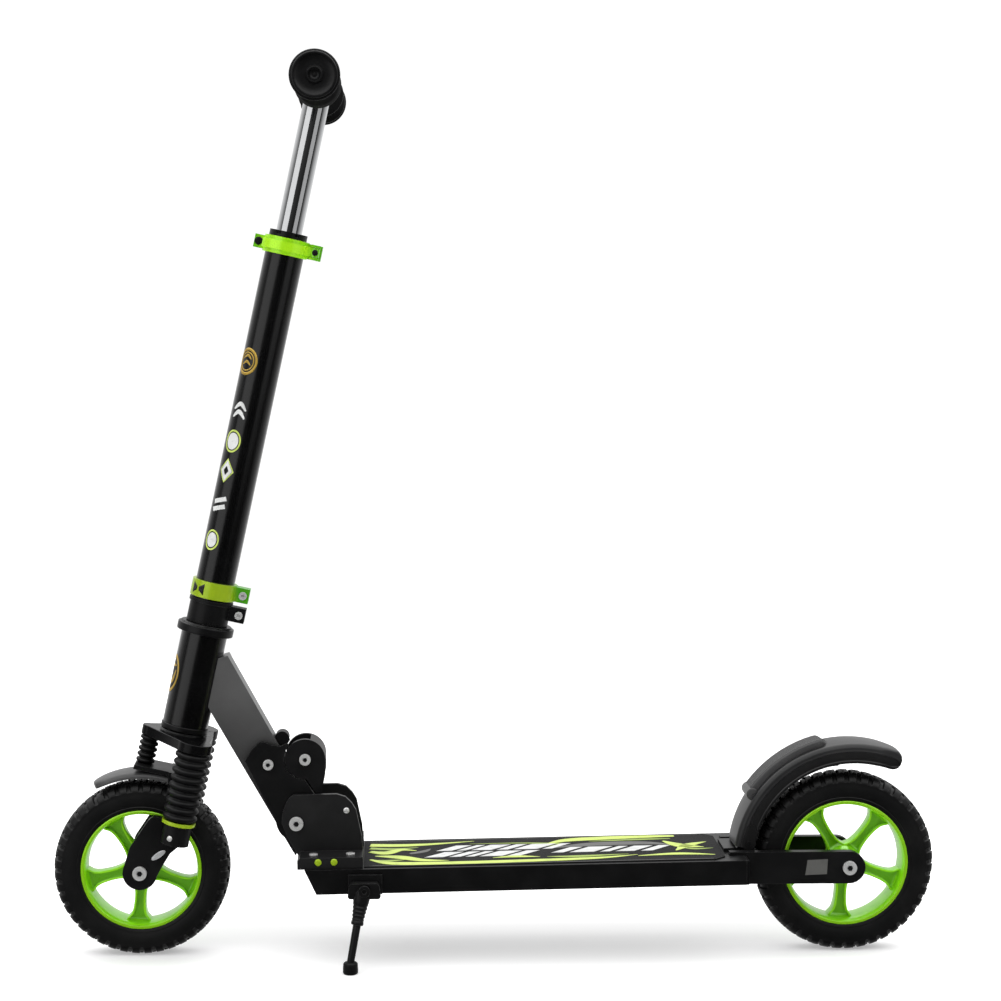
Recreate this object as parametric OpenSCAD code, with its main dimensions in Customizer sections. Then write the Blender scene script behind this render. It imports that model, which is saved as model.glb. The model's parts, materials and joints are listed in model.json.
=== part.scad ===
// Folding kick scooter with a sprung front fork and a pressed-down rear brake.
// X runs from the front wheel to the rear wheel, +Y is the rider's right, Z is up.
// The origin is on the ground under the middle of the scooter.

/* [Wheels] */
// Diameter of the front tyre
front_wheel_d = 200; // [190:1:204]
// Diameter of the rear tyre
rear_wheel_d = 208; // [200:1:212]
// Distance between the two axles
wheelbase = 808; // [800:1:840]
// Width of a tyre
tyre_w = 45; // [40:1:45]
// Number of spokes in a rim
spokes = 5; // [4:1:7]

/* [Deck] */
// Width of the deck
deck_w = 140; // [130:1:150]
// Thickness of the deck
deck_h = 28; // [26:1:30]
// Height of the middle of the deck above the ground
deck_mid_z = 100.1; // [99:0.1:101]
// Slope of the deck, rising to the rear
deck_rise = 1; // [0.8:0.1:1.2]

/* [Steering] */
// Lean of the steering axis, top to the rear
rake = 12; // [11.5:0.1:12.5]
// Distance from the steering axis forward to the front axle
fork_offset = 13.9; // [12:0.1:16]
// Height of the handlebar along the steering axis
bar_s = 905; // [880:1:930]
// Length of the handlebar over its end caps
bar_len = 358; // [340:1:380]
// Outside diameter of the lower stem tube
stem_d = 44; // [43:0.5:45]
// Outside diameter of the sliding chrome tube
slider_d = 29; // [28:0.5:30]

/* [Suspension] */
// Distance from the middle of the fork to a leg
leg_y = 47; // [46.5:0.1:48]
// Outside diameter of the rubber bellows
bellows_d = 39; // [38:0.1:39]
// Number of ribs on a leg bellows
bellows_ribs = 9; // [7:1:10]

/* [Brake and stand] */
// Gap between the brake shoe and the rear tyre at rest
brake_gap = 8; // [7:0.5:9]
// Distance of the stand's foot from the middle of the scooter
stand_y = 98; // [96:1:102]

/* [Hidden] */
$fn = 64;

front_r = front_wheel_d / 2;
rear_r = rear_wheel_d / 2;
mid_shift = (front_r - rear_r) / 2;
front_x = mid_shift - wheelbase / 2;
rear_x = mid_shift + wheelbase / 2;

tyre_h = 30;
bead_h = 4;
bead_half_w = 19;
lip_w = 3;
rim_wall = 5;
tread_half_w = 12;
hub_r = 15;
hub_half_w = 21;
bearing_r = 11;
bearing_w = 7;
axle_r = 4;
running = 0.05;
spoke_half_t = 9;

drop_in = 27;
drop_out = 36;
drop_r = 19.5;
arm_in = 34;
arm_out = 44;
arm_r = 18.5;

deck_front = -219;
deck_rear = 280;
deck_chamfer = 13;
deck_wall = 2.5;
slot_x = 264;
tenon_x = 200;
web_y = [32.5, 46];
grip_t = 1.2;
grip_front = -153;
grip_rear = 258;
grip_half_w = 63;

steer_x = front_x + fork_offset * cos(rake);
steer_z = front_r - fork_offset * sin(rake);
leg_x = 17.5;
nose_x = -36;
cup_bottom_s = 44;
cup_s = 67;
ring_s = 71;
crown_s = 151;
crown_t = 11;
crown_boss_s = 164;
stanchion_r = 12;
stanchion_end_s = 61.5;
cup_r = 16;
stay_t = 2.8;
fender_r = 110;
fender_t = 3;
bridge_s = 113;

steerer_r = 14;
headset_r = 20;
head_s = 171;
head_top_s = 279;
head_r = 26;
flange_s = 290;
flange_r = 32;
collar_s = 290.5;
collar_r = 23.5;
stem_s = 318;
stem_top_s = 735;
stem_r = stem_d / 2;
stem_bore = 19.5;
slider_r = slider_d / 2;
slider_end_s = 520;
bar_r = 11;
clamp_h = 19;
lower_clamp_s = 320;
upper_clamp_s = 716;
clamp_t = 3.6;
lug_x = 34;
lever_y = -18.5;

pivot = [-229.5, 155.3];
catch = [-220, 226.9];
beam_half_w = 15;
beam_wall = 2.5;
plate_in = 15;
plate_out = 21;
base_in = 26.5;
base_out = 32;
base_front = -227;
base_rear = -153.5;
base_half_w = 66;
base_h = 13;
knuckle_r = 24;

brake_pin = [288, 129];
guard_dx = 7;
guard_dz = 2;
guard_in = 115.5;
guard_out = 138;
guard_half_w = 30;
guard_skin = 3;
pad_t = 8;

stand_pivot = [-152, 91];
stand_plate_y = -74;

bolt_head_h = 4;

// ---------- frames and shared shapes ----------

module steer_frame() translate([steer_x, 0, steer_z]) rotate([0, rake, 0]) children();
module deck_frame() translate([0, 0, deck_mid_z]) rotate([0, -deck_rise, 0]) children();
module front_hub() translate([front_x, 0, front_r]) children();
module rear_hub() translate([rear_x, 0, rear_r]) children();
module both_sides() for (side = [-1, 1]) scale([1, side, 1]) children();

// A flat shape drawn in X and Z, thick from y0 to y1.
module side_plate(y0, y1) translate([0, y1, 0]) rotate([90, 0, 0]) linear_extrude(y1 - y0) children();

// A round bar along Y.
module bar_y(r, y0, y1) translate([0, y0, 0]) rotate([-90, 0, 0]) cylinder(r = r, h = y1 - y0);

// A round bar along the local Z from s0 to s1.
module bar_z(r, s0, s1) translate([0, 0, s0]) cylinder(r = r, h = s1 - s0);

module ring_z(r_in, r_out, s0, s1) difference() {
    bar_z(r_out, s0, s1);
    bar_z(r_in, s0 - 1, s1 + 1);
}

module ring_y(r_in, r_out, y0, y1) difference() {
    bar_y(r_out, y0, y1);
    bar_y(r_in, y0 - 1, y1 + 1);
}

// A button head with a six-sided socket, seated at y0 and facing -Y.
module button_head(r, y0) difference() {
    bar_y(r, y0 - bolt_head_h, y0);
    translate([0, y0 - bolt_head_h - 1, 0]) rotate([-90, 0, 0]) cylinder(r = r * 0.45, h = 3, $fn = 6);
}

// A helical spring that stands on the local XY plane.
module coil(mean_r, wire_r, turns, height) {
    sides = 6;
    steps = 12;
    rise = height - 2 * wire_r;
    count = round(turns * steps);
    points = [
        for (i = [0 : count], j = [0 : sides - 1])
            let (a = 360 * i / steps, b = 360 * j / sides, r = mean_r + wire_r * cos(b))
            [r * cos(a), r * sin(a), wire_r + rise * i / count + wire_r * sin(b)]
    ];
    walls = [
        for (i = [0 : count - 1], j = [0 : sides - 1])
            let (k = (j + 1) % sides)
            [i * sides + j, i * sides + k, (i + 1) * sides + k, (i + 1) * sides + j]
    ];
    first = [for (j = [sides - 1 : -1 : 0]) j];
    last = [for (j = [0 : sides - 1]) count * sides + j];
    polyhedron(points, concat([first, last], walls));
}

// A ribbed rubber sleeve from s0 to s1.
module bellows(r_in, r_out, depth, ribs, s0, s1) {
    pitch = (s1 - s0) / ribs;
    outline = [
        for (i = [0 : ribs - 1]) each [
            [r_out - depth, s0 + pitch * i],
            [r_out, s0 + pitch * (i + 0.35)],
            [r_out, s0 + pitch * (i + 0.65)]
        ]
    ];
    rotate_extrude() polygon(concat([[r_in, s1], [r_in, s0]], outline, [[r_out - depth, s1]]));
}

// ---------- wheels, drawn about the hub ----------

module wheel_tyre(r) {
    lip_r = r - tyre_h;
    half = tyre_w / 2;
    rotate([90, 0, 0]) rotate_extrude() polygon([
        [lip_r - bead_h, -bead_half_w], [lip_r, -bead_half_w], [lip_r, -half + 1],
        [lip_r + 6, -half], [r - 12, -half], [r - 3, -half + 5], [r, -tread_half_w],
        [r, tread_half_w], [r - 3, half - 5], [r - 12, half], [lip_r + 6, half],
        [lip_r, half - 1], [lip_r, bead_half_w], [lip_r - bead_h, bead_half_w]
    ]);
}

module spoke(r_end) polygon([
    [hub_r - 4, -8], [hub_r + 8, -6], [r_end * 0.65, -6], [r_end - 8, -9], [r_end + 2, -15],
    [r_end + 2, 15], [r_end - 8, 9], [r_end * 0.65, 6], [hub_r + 8, 6], [hub_r - 4, 8]
]);

module wheel_rim(r) {
    lip_r = r - tyre_h;
    seat_r = lip_r - bead_h;
    inner_r = seat_r - rim_wall;
    difference() {
        union() {
            ring_y(inner_r, seat_r, -bead_half_w, bead_half_w);
            both_sides() ring_y(inner_r, lip_r, bead_half_w, bead_half_w + lip_w);
            bar_y(hub_r, -hub_half_w, hub_half_w);
            for (i = [0 : spokes - 1])
                rotate([0, 90 + 360 * i / spokes, 0])
                side_plate(-spoke_half_t, spoke_half_t) spoke(inner_r);
        }
        bar_y(bearing_r - 2, -hub_half_w - 1, hub_half_w + 1);
        both_sides() bar_y(bearing_r, hub_half_w - bearing_w, hub_half_w + 1);
    }
}

module wheel_bearings() {
    both_sides() ring_y(axle_r + running, bearing_r, hub_half_w - bearing_w, hub_half_w);
    ring_y(axle_r + running, axle_r + 2.5, bearing_w - hub_half_w, hub_half_w - bearing_w);
}

// An axle bolt with its nut, and a sleeve between each bearing and its support.
module axle_set(y_in, y_out) {
    bar_y(axle_r, -y_out - 1, y_out + 3);
    translate([0, -0.2, 0]) button_head(8, -y_out);
    difference() {
        translate([0, y_out, 0]) rotate([-90, 0, 0]) cylinder(r = 7.5, h = 6, $fn = 6);
        bar_y(axle_r + running, y_out - 1, y_out + 7);
    }
    both_sides() ring_y(axle_r + running, axle_r + 4, hub_half_w + 0.4, y_in);
}

module front_rim() color("limegreen") front_hub() wheel_rim(front_r);
module front_tyre() color([0.07, 0.07, 0.08]) front_hub() wheel_tyre(front_r);
module front_bearings() color("silver") front_hub() wheel_bearings();
module rear_rim() color("limegreen") rear_hub() wheel_rim(rear_r);
module rear_tyre() color([0.07, 0.07, 0.08]) rear_hub() wheel_tyre(rear_r);
module rear_bearings() color("silver") rear_hub() wheel_bearings();
module front_axle_set() color("silver") front_hub() axle_set(drop_in, drop_out);
module rear_axle_set() color("silver") rear_hub() axle_set(arm_in, arm_out);

// ---------- deck ----------

module deck_outline() {
    half_h = deck_h / 2;
    polygon([
        [deck_front, half_h], [deck_rear, half_h], [deck_rear, -half_h],
        [deck_front + deck_chamfer, -half_h]
    ]);
}

module deck_cell(y0, y1) translate([deck_front + 2 * deck_chamfer, y0, deck_wall - deck_h / 2])
    cube([deck_rear - deck_front, y1 - y0, deck_h - 2 * deck_wall]);

module deck_body() color([0.09, 0.09, 0.1]) deck_frame() difference() {
    side_plate(-deck_w / 2, deck_w / 2) deck_outline();
    deck_cell(1 - web_y[0], web_y[0] - 1);
    both_sides() {
        deck_cell(web_y[0] + 1, web_y[1] - 1);
        deck_cell(web_y[1] + 1, deck_w / 2 - deck_wall);
        translate([slot_x - 0.6, arm_in - 0.1, -deck_h])
            cube([deck_rear, arm_out - arm_in + 0.2, 2 * deck_h]);
    }
    deck_screw_places() bar_z(2.6, -deck_h / 2 - 1, 0);
    base_screw_places() bar_z(2.6, 0, deck_h / 2 + 1);
}

module deck_screw_places() both_sides() for (x = [212, 245])
    translate([x, (arm_in + arm_out) / 2, 0]) children();

module base_screw_places() both_sides() for (x = [base_front + 18, base_rear - 14])
    translate([x, base_half_w - 13, 0]) children();

// Long screws hold the arms from below, and domed screws hold the hinge base from above.
module deck_screws() color("silver") deck_frame() {
    deck_screw_places() {
        bar_z(2.5, -deck_h / 2, -3);
        bar_z(4.5, -deck_h / 2 - 2, -deck_h / 2);
    }
    base_screw_places() {
        bar_z(2.5, deck_h / 2 - 6, deck_h / 2 + base_h);
        bar_z(5, deck_h / 2 + base_h, deck_h / 2 + base_h + 2);
    }
}

module deck_grip() color([0.2, 0.2, 0.2]) deck_frame() translate([0, 0, deck_h / 2])
    linear_extrude(grip_t) polygon([
        [grip_front + 0.5, -grip_half_w], [grip_rear - 12, -grip_half_w],
        [grip_rear, -grip_half_w + 12], [grip_rear, grip_half_w - 12],
        [grip_rear - 12, grip_half_w], [grip_front + 0.5, grip_half_w]
    ]);

module deck_end_caps() color([0.05, 0.05, 0.05]) deck_frame() difference() {
    translate([deck_rear, -deck_w / 2, -deck_h / 2]) cube([3, deck_w, deck_h]);
    both_sides() translate([deck_rear - 1, arm_in - 0.1, -deck_h])
        cube([5, arm_out - arm_in + 0.2, 2 * deck_h]);
}

// A side arm: a tongue inside the deck, then a deeper bar that ends round the axle.
module rear_arm() {
    deck_frame() difference() {
        translate([tenon_x, arm_in, 0.2 + deck_wall - deck_h / 2])
            cube([slot_x - tenon_x + 1, arm_out - arm_in, deck_h - 2 * deck_wall - 0.4]);
        deck_screw_places() bar_z(2.55, -deck_h, 0);
    }
    difference() {
        side_plate(arm_in, arm_out) union() {
            translate([slot_x, rear_r - arm_r]) square([rear_x - slot_x, 2 * arm_r]);
            translate([rear_x, rear_r]) circle(r = arm_r);
        }
        rear_hub() bar_y(axle_r + running, arm_in - 1, arm_out + 1);
    }
}

module rear_arm_left() color([0.1, 0.1, 0.1]) scale([1, -1, 1]) rear_arm();
module rear_arm_right() color([0.1, 0.1, 0.1]) rear_arm();

// ---------- folding hinge ----------

module base_outline() polygon([
    [-226, 116], [-240, 140], [-246, 156], [-245, 168], [-241, 179], [-237, 185], [-233, 188],
    [-184, 189], [-174, 186], [-167, 179], [-162, 171], [-159, 157], [-155.5, 141], [-153.5, 116]
]);

module hinge_base() color([0.08, 0.08, 0.08]) difference() {
    union() {
        deck_frame() difference() {
            side_plate(-base_half_w, base_half_w) polygon([
                [base_front, deck_h / 2], [base_front, deck_h / 2 + base_h - 3],
                [base_front + 3, deck_h / 2 + base_h], [base_rear, deck_h / 2 + base_h],
                [base_rear, deck_h / 2]
            ]);
            translate([base_front - 1, 1 - base_in, deck_h / 2 + 4])
                cube([base_rear - base_front + 2, 2 * base_in - 2, base_h]);
            base_screw_places() bar_z(2.6, 0, deck_h);
        }
        both_sides() side_plate(base_in, base_out) base_outline();
    }
    translate([pivot[0], 0, pivot[1]]) bar_y(5.05, -base_out - 1, base_out + 1);
    translate([pivot[0], 0, pivot[1]]) bar_y(knuckle_r + 1.5, 1 - base_in, base_in - 1);
}

// The pivot of the fold, with a washer on each side of the neck and a nut.
module fold_bolt() color("silver") translate([pivot[0], 0, pivot[1]]) {
    bar_y(5, -base_out - 1, base_out + 4);
    button_head(8, -base_out);
    difference() {
        translate([0, base_out, 0]) rotate([-90, 0, 0]) cylinder(r = 8, h = 5, $fn = 6);
        bar_y(5, base_out - 1, base_out + 6);
    }
    both_sides() ring_y(5.05, 10, plate_out + 0.4, base_in);
}

module neck_beam() color([0.2, 0.2, 0.21]) difference() {
    union() {
        side_plate(-beam_half_w, beam_half_w) polygon([
            [-307.5, 345], [-212, 173.4], [-210, 160], [-231, 114], [-325.6, 278], [-332, 290],
            [-325, 340]
        ]);
        translate([pivot[0], 0, pivot[1]]) bar_y(knuckle_r, -beam_half_w, beam_half_w);
        side_plate(-beam_half_w, beam_half_w) hull() {
            translate(catch) circle(r = 13);
            translate([-250, 205]) circle(r = 13);
        }
    }
    steer_frame() bar_z(head_r, head_s - 20, flange_s);
    translate([catch[0], 0, catch[1]]) bar_y(4.05, -50, 50);
    translate([pivot[0], 0, pivot[1]]) bar_y(5.05, -50, 50);
    translate([catch[0], 0, catch[1]]) bar_y(9, -5, 5);
    side_plate(beam_wall - beam_half_w, beam_half_w - beam_wall) polygon([
        [-310, 336], [-256, 239], [-268, 190], [-322, 285]
    ]);
}

module neck_plates() color([0.06, 0.06, 0.06]) both_sides() difference() {
    side_plate(plate_in, plate_out) difference() {
        union() {
            polygon([
                [-288, 225], [-281, 237], [-272, 246], [-267, 247], [-257, 243], [-248, 242],
                [-240, 245.5], [-222, 205], [-205, 180], [-212, 150], [-224, 124], [-233, 119], [-252, 152]
            ]);
            translate(pivot) circle(r = 23);
        }
        translate(catch) circle(r = 24);
        translate(pivot) circle(r = 5.05);
        translate([-261.8, 221.1]) circle(r = 3.05);
        polygon([[-226, 215.8], [-201, 174], [-190, 190], [-200, 230]]);
    }
}

module neck_screws() color("silver") translate([-261.8, 0, 221.1]) {
    bar_y(3, -plate_out, -beam_half_w);
    bar_y(3, beam_half_w, plate_out);
    button_head(6, -plate_out);
    scale([1, -1, 1]) button_head(6, -plate_out);
}

module neck_bumper() color([0.05, 0.05, 0.05]) translate([-246.5, 0, 249]) difference() {
    bar_y(8, -9, 9);
    translate([-5, -10, -15]) rotate([0, 29, 0]) cube([20, 20, 8]);
    side_cut();
}

// Everything on the beam's side of its top face.
module side_cut() translate([246.5, 0, -249]) side_plate(-20, 20) polygon([
    [-307.5, 345], [-212, 173.4], [-260, 173.4], [-350, 345]
]);

// Side lobes and a thumb bar that swing about the catch bolt.
module catch_lever() color([0.06, 0.06, 0.06]) difference() {
    union() {
        both_sides() side_plate(plate_in + 0.3, plate_out) union() {
            translate(catch) circle(r = 23);
            polygon([
                [-224.5, 214], [-204, 183], [-200, 195], [-197, 210], [-197, 226], [-220, 230]
            ]);
        }
        side_plate(-plate_in - 1, plate_in + 1) difference() {
            translate(catch) circle(r = 23);
            translate(catch) circle(r = 17);
            polygon([[-250, 251], [-214, 251], [-214, 190], [-250, 190]]);
        }
    }
    translate([catch[0], 0, catch[1]]) bar_y(4.05, -30, 30);
}

module catch_bolt() color("silver") translate([catch[0], 0, catch[1]]) {
    bar_y(4, -plate_out - 0.4, plate_out + 0.4);
    button_head(6.5, -plate_out - 0.4);
    scale([1, -1, 1]) button_head(6.5, -plate_out - 0.4);
}

module catch_spring() color("silver") translate([catch[0], -4, catch[1]]) rotate([-90, 0, 0])
    coil(6, 0.8, 4, 8);

// ---------- head tube and headset ----------

module head_tube() color([0.05, 0.05, 0.05]) steer_frame()
    ring_z(steerer_r + 2, head_r, head_s, head_top_s);

module headset_cups() color([0.04, 0.04, 0.04]) steer_frame() {
    ring_z(headset_r, head_r + 1, head_s - 6, head_s);
    difference() {
        union() {
            bar_z(flange_r, head_top_s, flange_s - 2);
            bar_z(flange_r - 3, flange_s - 2, flange_s);
        }
        bar_z(steerer_r + 2, head_top_s - 1, flange_s + 1);
        bar_z(headset_r, head_top_s + 2, flange_s + 1);
    }
}

module headset_bearings() color("silver") steer_frame() {
    ring_z(steerer_r + running, headset_r, head_s - 6, head_s);
    ring_z(steerer_r + running, headset_r, head_top_s + 2, flange_s);
}

// ---------- fork, steered with the stem ----------

module fork_crown() color([0.05, 0.05, 0.05]) steer_frame() difference() {
    union() {
        translate([0, 0, crown_s]) linear_extrude(crown_t) {
            both_sides() translate([leg_x, leg_y]) circle(r = bellows_d / 2);
            translate([nose_x, 0]) circle(r = 11);
            polygon([
                [nose_x - 4, -10], [leg_x - 14, -leg_y - 12], [leg_x + 14, -leg_y - 12],
                [34, 0], [leg_x + 14, leg_y + 12], [leg_x - 14, leg_y + 12], [nose_x - 4, 10]
            ]);
        }
        bar_z(head_r + 1, crown_s + crown_t, crown_boss_s);
    }
    bar_z(steerer_r, crown_s - 1, crown_boss_s + 1);
}

module fork_steerer() color("silver") steer_frame()
    ring_z(steerer_r - 2.5, steerer_r, crown_s, stem_s + 30);

module leg_places() steer_frame() both_sides() translate([leg_x, leg_y, 0]) children();

module fork_stanchions() color("silver") leg_places() ring_z(9, stanchion_r, stanchion_end_s, crown_s);

module fork_springs() color("gold") leg_places() translate([0, 0, ring_s])
    coil(14.2, 1.4, 7, crown_s - ring_s);

module fork_bellows() color([0.04, 0.04, 0.04]) leg_places()
    bellows(16, bellows_d / 2, 2.6, bellows_ribs, ring_s, crown_s);

module strut_rod() color("silver") steer_frame() translate([nose_x, 0, 0]) bar_z(5, 129, crown_s);

module strut_bellows() color([0.04, 0.04, 0.04]) steer_frame() translate([nose_x, 0, 0])
    bellows(8, 10.5, 2, 5, bridge_s + 5, crown_s);

// ---------- sprung lower fork ----------

module lower_leg() {
    difference() {
        union() {
            translate([leg_x, leg_y, 0]) bar_z(cup_r, cup_bottom_s, cup_s);
            side_plate(drop_in, drop_out) union() {
                translate([-fork_offset, 0]) circle(r = drop_r);
                polygon([
                    [-33.2, 2], [-31, 26], [-17, 61], [-12, cup_s], [33, cup_s], [30, 50],
                    [26, 43], [15, 29], [9, 12], [5.5, 0]
                ]);
            }
            side_plate(drop_in - stay_t, drop_in) polygon([
                [2, 45], [26, 45], [26, 90], [18, bridge_s + 5], [-6, bridge_s + 5], [-2, 90]
            ]);
            side_plate(drop_in - stay_t, drop_in + 3) polygon([
                [2, 45], [26, 45], [26, cup_s], [2, cup_s]
            ]);
        }
        translate([leg_x, leg_y, 0]) bar_z(stanchion_r + running, cup_bottom_s + 2.5, cup_s + 1);
        translate([-fork_offset, 0, 0]) bar_y(axle_r + running, 0, drop_out + 1);
    }
}

module fork_lower_legs() color([0.05, 0.05, 0.05]) steer_frame() {
    both_sides() lower_leg();
    difference() {
        translate([nose_x - 10, stay_t - drop_in, bridge_s])
            cube([-nose_x + 24, 2 * (drop_in - stay_t), 5]);
        translate([nose_x, 0, 0]) bar_z(5 + running, 0, 200);
    }
    translate([nose_x, 0, 0]) ring_z(5 + running, 7.5, bridge_s + 5, 134);
}

module fork_rings() color("yellowgreen") leg_places()
    ring_z(stanchion_r + running, bellows_d / 2 - 0.5, cup_s, ring_s);

// A short curved guard under the bridge, with a turned-down edge on each side.
module front_fender() color([0.06, 0.06, 0.06]) intersection() {
    front_hub() rotate([90, 0, 0]) rotate([0, 0, 60]) rotate_extrude(angle = 59) polygon([
        [fender_r, -21], [fender_r - 4, -21], [fender_r - 4, -23.5], [fender_r + fender_t, -23.5],
        [fender_r + fender_t, 23.5], [fender_r - 4, 23.5], [fender_r - 4, 21], [fender_r, 21]
    ]);
    steer_frame() translate([-200, -50, 0]) cube([400, 100, bridge_s]);
}

// ---------- stem ----------

module collar() color([0.05, 0.05, 0.05]) steer_frame() difference() {
    union() {
        bar_z(collar_r, collar_s, stem_s - 4);
        bar_z(collar_r + 1.5, stem_s - 4, stem_s);
        translate([collar_r - 4, -8, stem_s - 20]) cube([lug_x - collar_r + 11, 16, 17]);
    }
    bar_z(steerer_r, collar_s - 1, stem_s + 1);
    translate([0, -1, collar_s - 1]) cube([60, 2, 40]);
    translate([lug_x, 0, stem_s - 11.5]) bar_y(2.6, -20, 20);
}

// A split band of the given width with a pair of screw lugs at the back.
module band_clamp(s0, height, r_out) difference() {
    union() {
        bar_z(r_out, s0, s0 + height);
        translate([stem_r - 2, -8, s0 + 1]) cube([lug_x - stem_r + 9, 16, height - 2]);
    }
    bar_z(stem_r, s0 - 1, s0 + height + 1);
    translate([0, -1, s0 - 1]) cube([60, 2, height + 2]);
    translate([lug_x, 0, s0 + height / 2]) bar_y(2.6, -20, 20);
}

module lower_clamp() color("yellowgreen") steer_frame()
    band_clamp(lower_clamp_s, clamp_h, stem_r + clamp_t);

module lug_screw(s) translate([lug_x, 0, s]) {
    bar_y(2.5, -8, 8);
    button_head(4.5, -8);
    translate([0, 8, 0]) rotate([-90, 0, 0]) cylinder(r = 4.5, h = 3, $fn = 6);
}

module clamp_screws() color("silver") steer_frame() {
    lug_screw(stem_s - 11.5);
    lug_screw(lower_clamp_s + clamp_h / 2);
    lug_screw(upper_clamp_s + clamp_h / 2);
}

module stem_tube() color([0.03, 0.03, 0.03]) steer_frame()
    ring_z(stem_bore, stem_r, stem_s, stem_top_s);

module stem_adapter() color("gray") steer_frame() ring_z(steerer_r, stem_bore, stem_s, stem_s + 30);

module stem_bush() color([0.05, 0.05, 0.05]) steer_frame() difference() {
    union() {
        bar_z(stem_bore, stem_top_s - 45, stem_top_s);
        bar_z(stem_r - 0.5, stem_top_s, stem_top_s + 7);
    }
    bar_z(slider_r + running, 0, stem_top_s + 10);
    for (a = [0 : 60 : 120]) translate([0, 0, stem_top_s + 3]) rotate([0, 0, a])
        translate([-30, -3, 0]) cube([60, 6, 10]);
}

module upper_clamp() color("limegreen") steer_frame() {
    band_clamp(upper_clamp_s, clamp_h, stem_r + clamp_t);
    difference() {
        translate([-stem_r - 14, -6, upper_clamp_s + 2]) cube([14, 12, clamp_h - 4]);
        bar_z(stem_r + 1, 0, 1000);
    }
    for (s = [upper_clamp_s + 1, upper_clamp_s + clamp_h - 4]) difference() {
        translate([lug_x - 5, lever_y - 5, s]) cube([10, -lever_y - 2.5, 3]);
        translate([lug_x, lever_y, 0]) bar_z(2.5, 0, 1000);
    }
}

module lever_pin() color("silver") steer_frame() translate([lug_x, lever_y, 0])
    bar_z(2.5, upper_clamp_s + 1, upper_clamp_s + clamp_h - 1);

// The quick-release handle follows the left side of the clamp and swings outward.
module clamp_lever() color("limegreen") steer_frame() {
    s0 = upper_clamp_s + 4.4;
    h = clamp_h - 8.8;
    difference() {
        union() {
            translate([0, 0, s0]) rotate([0, 0, -148]) rotate_extrude(angle = 112)
                translate([stem_r + clamp_t + 1.4, 0]) square([4, h]);
            translate([lug_x, lever_y, 0]) bar_z(5, s0, s0 + h);
            translate([lug_x - 13, lever_y - 3, s0]) cube([13, 5, h]);
        }
        translate([lug_x, lever_y, 0]) bar_z(2.5 + running, 0, 1000);
    }
}

// ---------- sliding T-bar ----------

module slider_tube() color("silver") steer_frame() difference() {
    ring_z(slider_r - 2, slider_r, slider_end_s, bar_s);
    translate([0, 0, bar_s]) bar_y(bar_r, -50, 50);
}

module slider_glide() color([0.1, 0.1, 0.1]) steer_frame()
    ring_z(slider_r, stem_bore - running, slider_end_s, slider_end_s + 25);

module handlebar() color("silver") steer_frame() translate([0, 0, bar_s])
    ring_y(bar_r - 2, bar_r, 8 - bar_len / 2, bar_len / 2 - 8);

module grips() color([0.04, 0.04, 0.04]) steer_frame() translate([0, 0, bar_s]) both_sides()
    rotate([-90, 0, 0]) rotate_extrude() polygon([
        [bar_r, bar_len / 2 - 122], [26, bar_len / 2 - 122], [27, bar_len / 2 - 119],
        [24, bar_len / 2 - 115], [18, bar_len / 2 - 111], [17, bar_len / 2 - 100],
        [17, bar_len / 2 - 22], [20, bar_len / 2 - 14], [28, bar_len / 2 - 10],
        [29, bar_len / 2 - 7], [28, bar_len / 2 - 4], [bar_r, bar_len / 2 - 4]
    ]);

// A dished disc with a stub that fills the end of the bar.
module bar_end_caps() color([0.06, 0.06, 0.06]) steer_frame() translate([0, 0, bar_s]) both_sides()
    rotate([-90, 0, 0]) rotate_extrude() polygon([
        [2, bar_len / 2 - 16], [bar_r - 2, bar_len / 2 - 16], [bar_r - 2, bar_len / 2 - 8],
        [bar_r, bar_len / 2 - 8], [bar_r, bar_len / 2 - 4], [26, bar_len / 2 - 4],
        [25, bar_len / 2], [10, bar_len / 2 - 2.5], [8, bar_len / 2], [2, bar_len / 2]
    ]);

// ---------- rear brake ----------

module guard_centre() translate([guard_dx, 0, guard_dz]) rear_hub() children();

// A curved channel about the rear wheel between two angles from +X.
module guard_band(a0, a1) guard_centre() rotate([90, 0, 0]) rotate([0, 0, a0])
    rotate_extrude(angle = a1 - a0) children();

module rear_guard() color([0.12, 0.12, 0.13]) difference() {
    union() {
        guard_band(64, 172) polygon([
            [guard_in, -guard_half_w], [guard_out - 4, -guard_half_w],
            [guard_out, -guard_half_w + 5], [guard_out, guard_half_w - 5],
            [guard_out - 4, guard_half_w], [guard_in, guard_half_w],
            [guard_in, guard_half_w - guard_skin], [guard_out - guard_skin, guard_half_w - guard_skin],
            [guard_out - guard_skin, guard_skin - guard_half_w], [guard_in, guard_skin - guard_half_w]
        ]);
        both_sides() side_plate(guard_half_w - guard_skin - 1, guard_half_w) hull() {
            translate(brake_pin) circle(r = 8);
            translate([290, 145]) circle(r = 6);
        }
    }
    translate([brake_pin[0], 0, brake_pin[1]]) bar_y(3.05, -50, 50);
}

// A ribbed foot pad with a round boss at its front, on top of the channel.
module brake_pad() color([0.07, 0.07, 0.07]) difference() {
    union() {
        guard_band(102, 146) polygon([
            [guard_out - 1, -18], [guard_out + pad_t - 2, -18], [guard_out + pad_t, -16],
            [guard_out + pad_t, 16], [guard_out + pad_t - 2, 18], [guard_out - 1, 18]
        ]);
        guard_centre() rotate([0, -146, 0]) translate([guard_out + 2, 0, 0]) bar_y(7, -20, 20);
    }
    guard_centre() bar_y(guard_out, -50, 50);
}

module brake_shoe() color([0.05, 0.05, 0.05]) difference() {
    guard_band(98, 112) polygon([
        [guard_out - guard_skin, -12], [80, -12], [80, 12], [guard_out - guard_skin, 12]
    ]);
    rear_hub() bar_y(rear_r + brake_gap, -20, 20);
}

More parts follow.
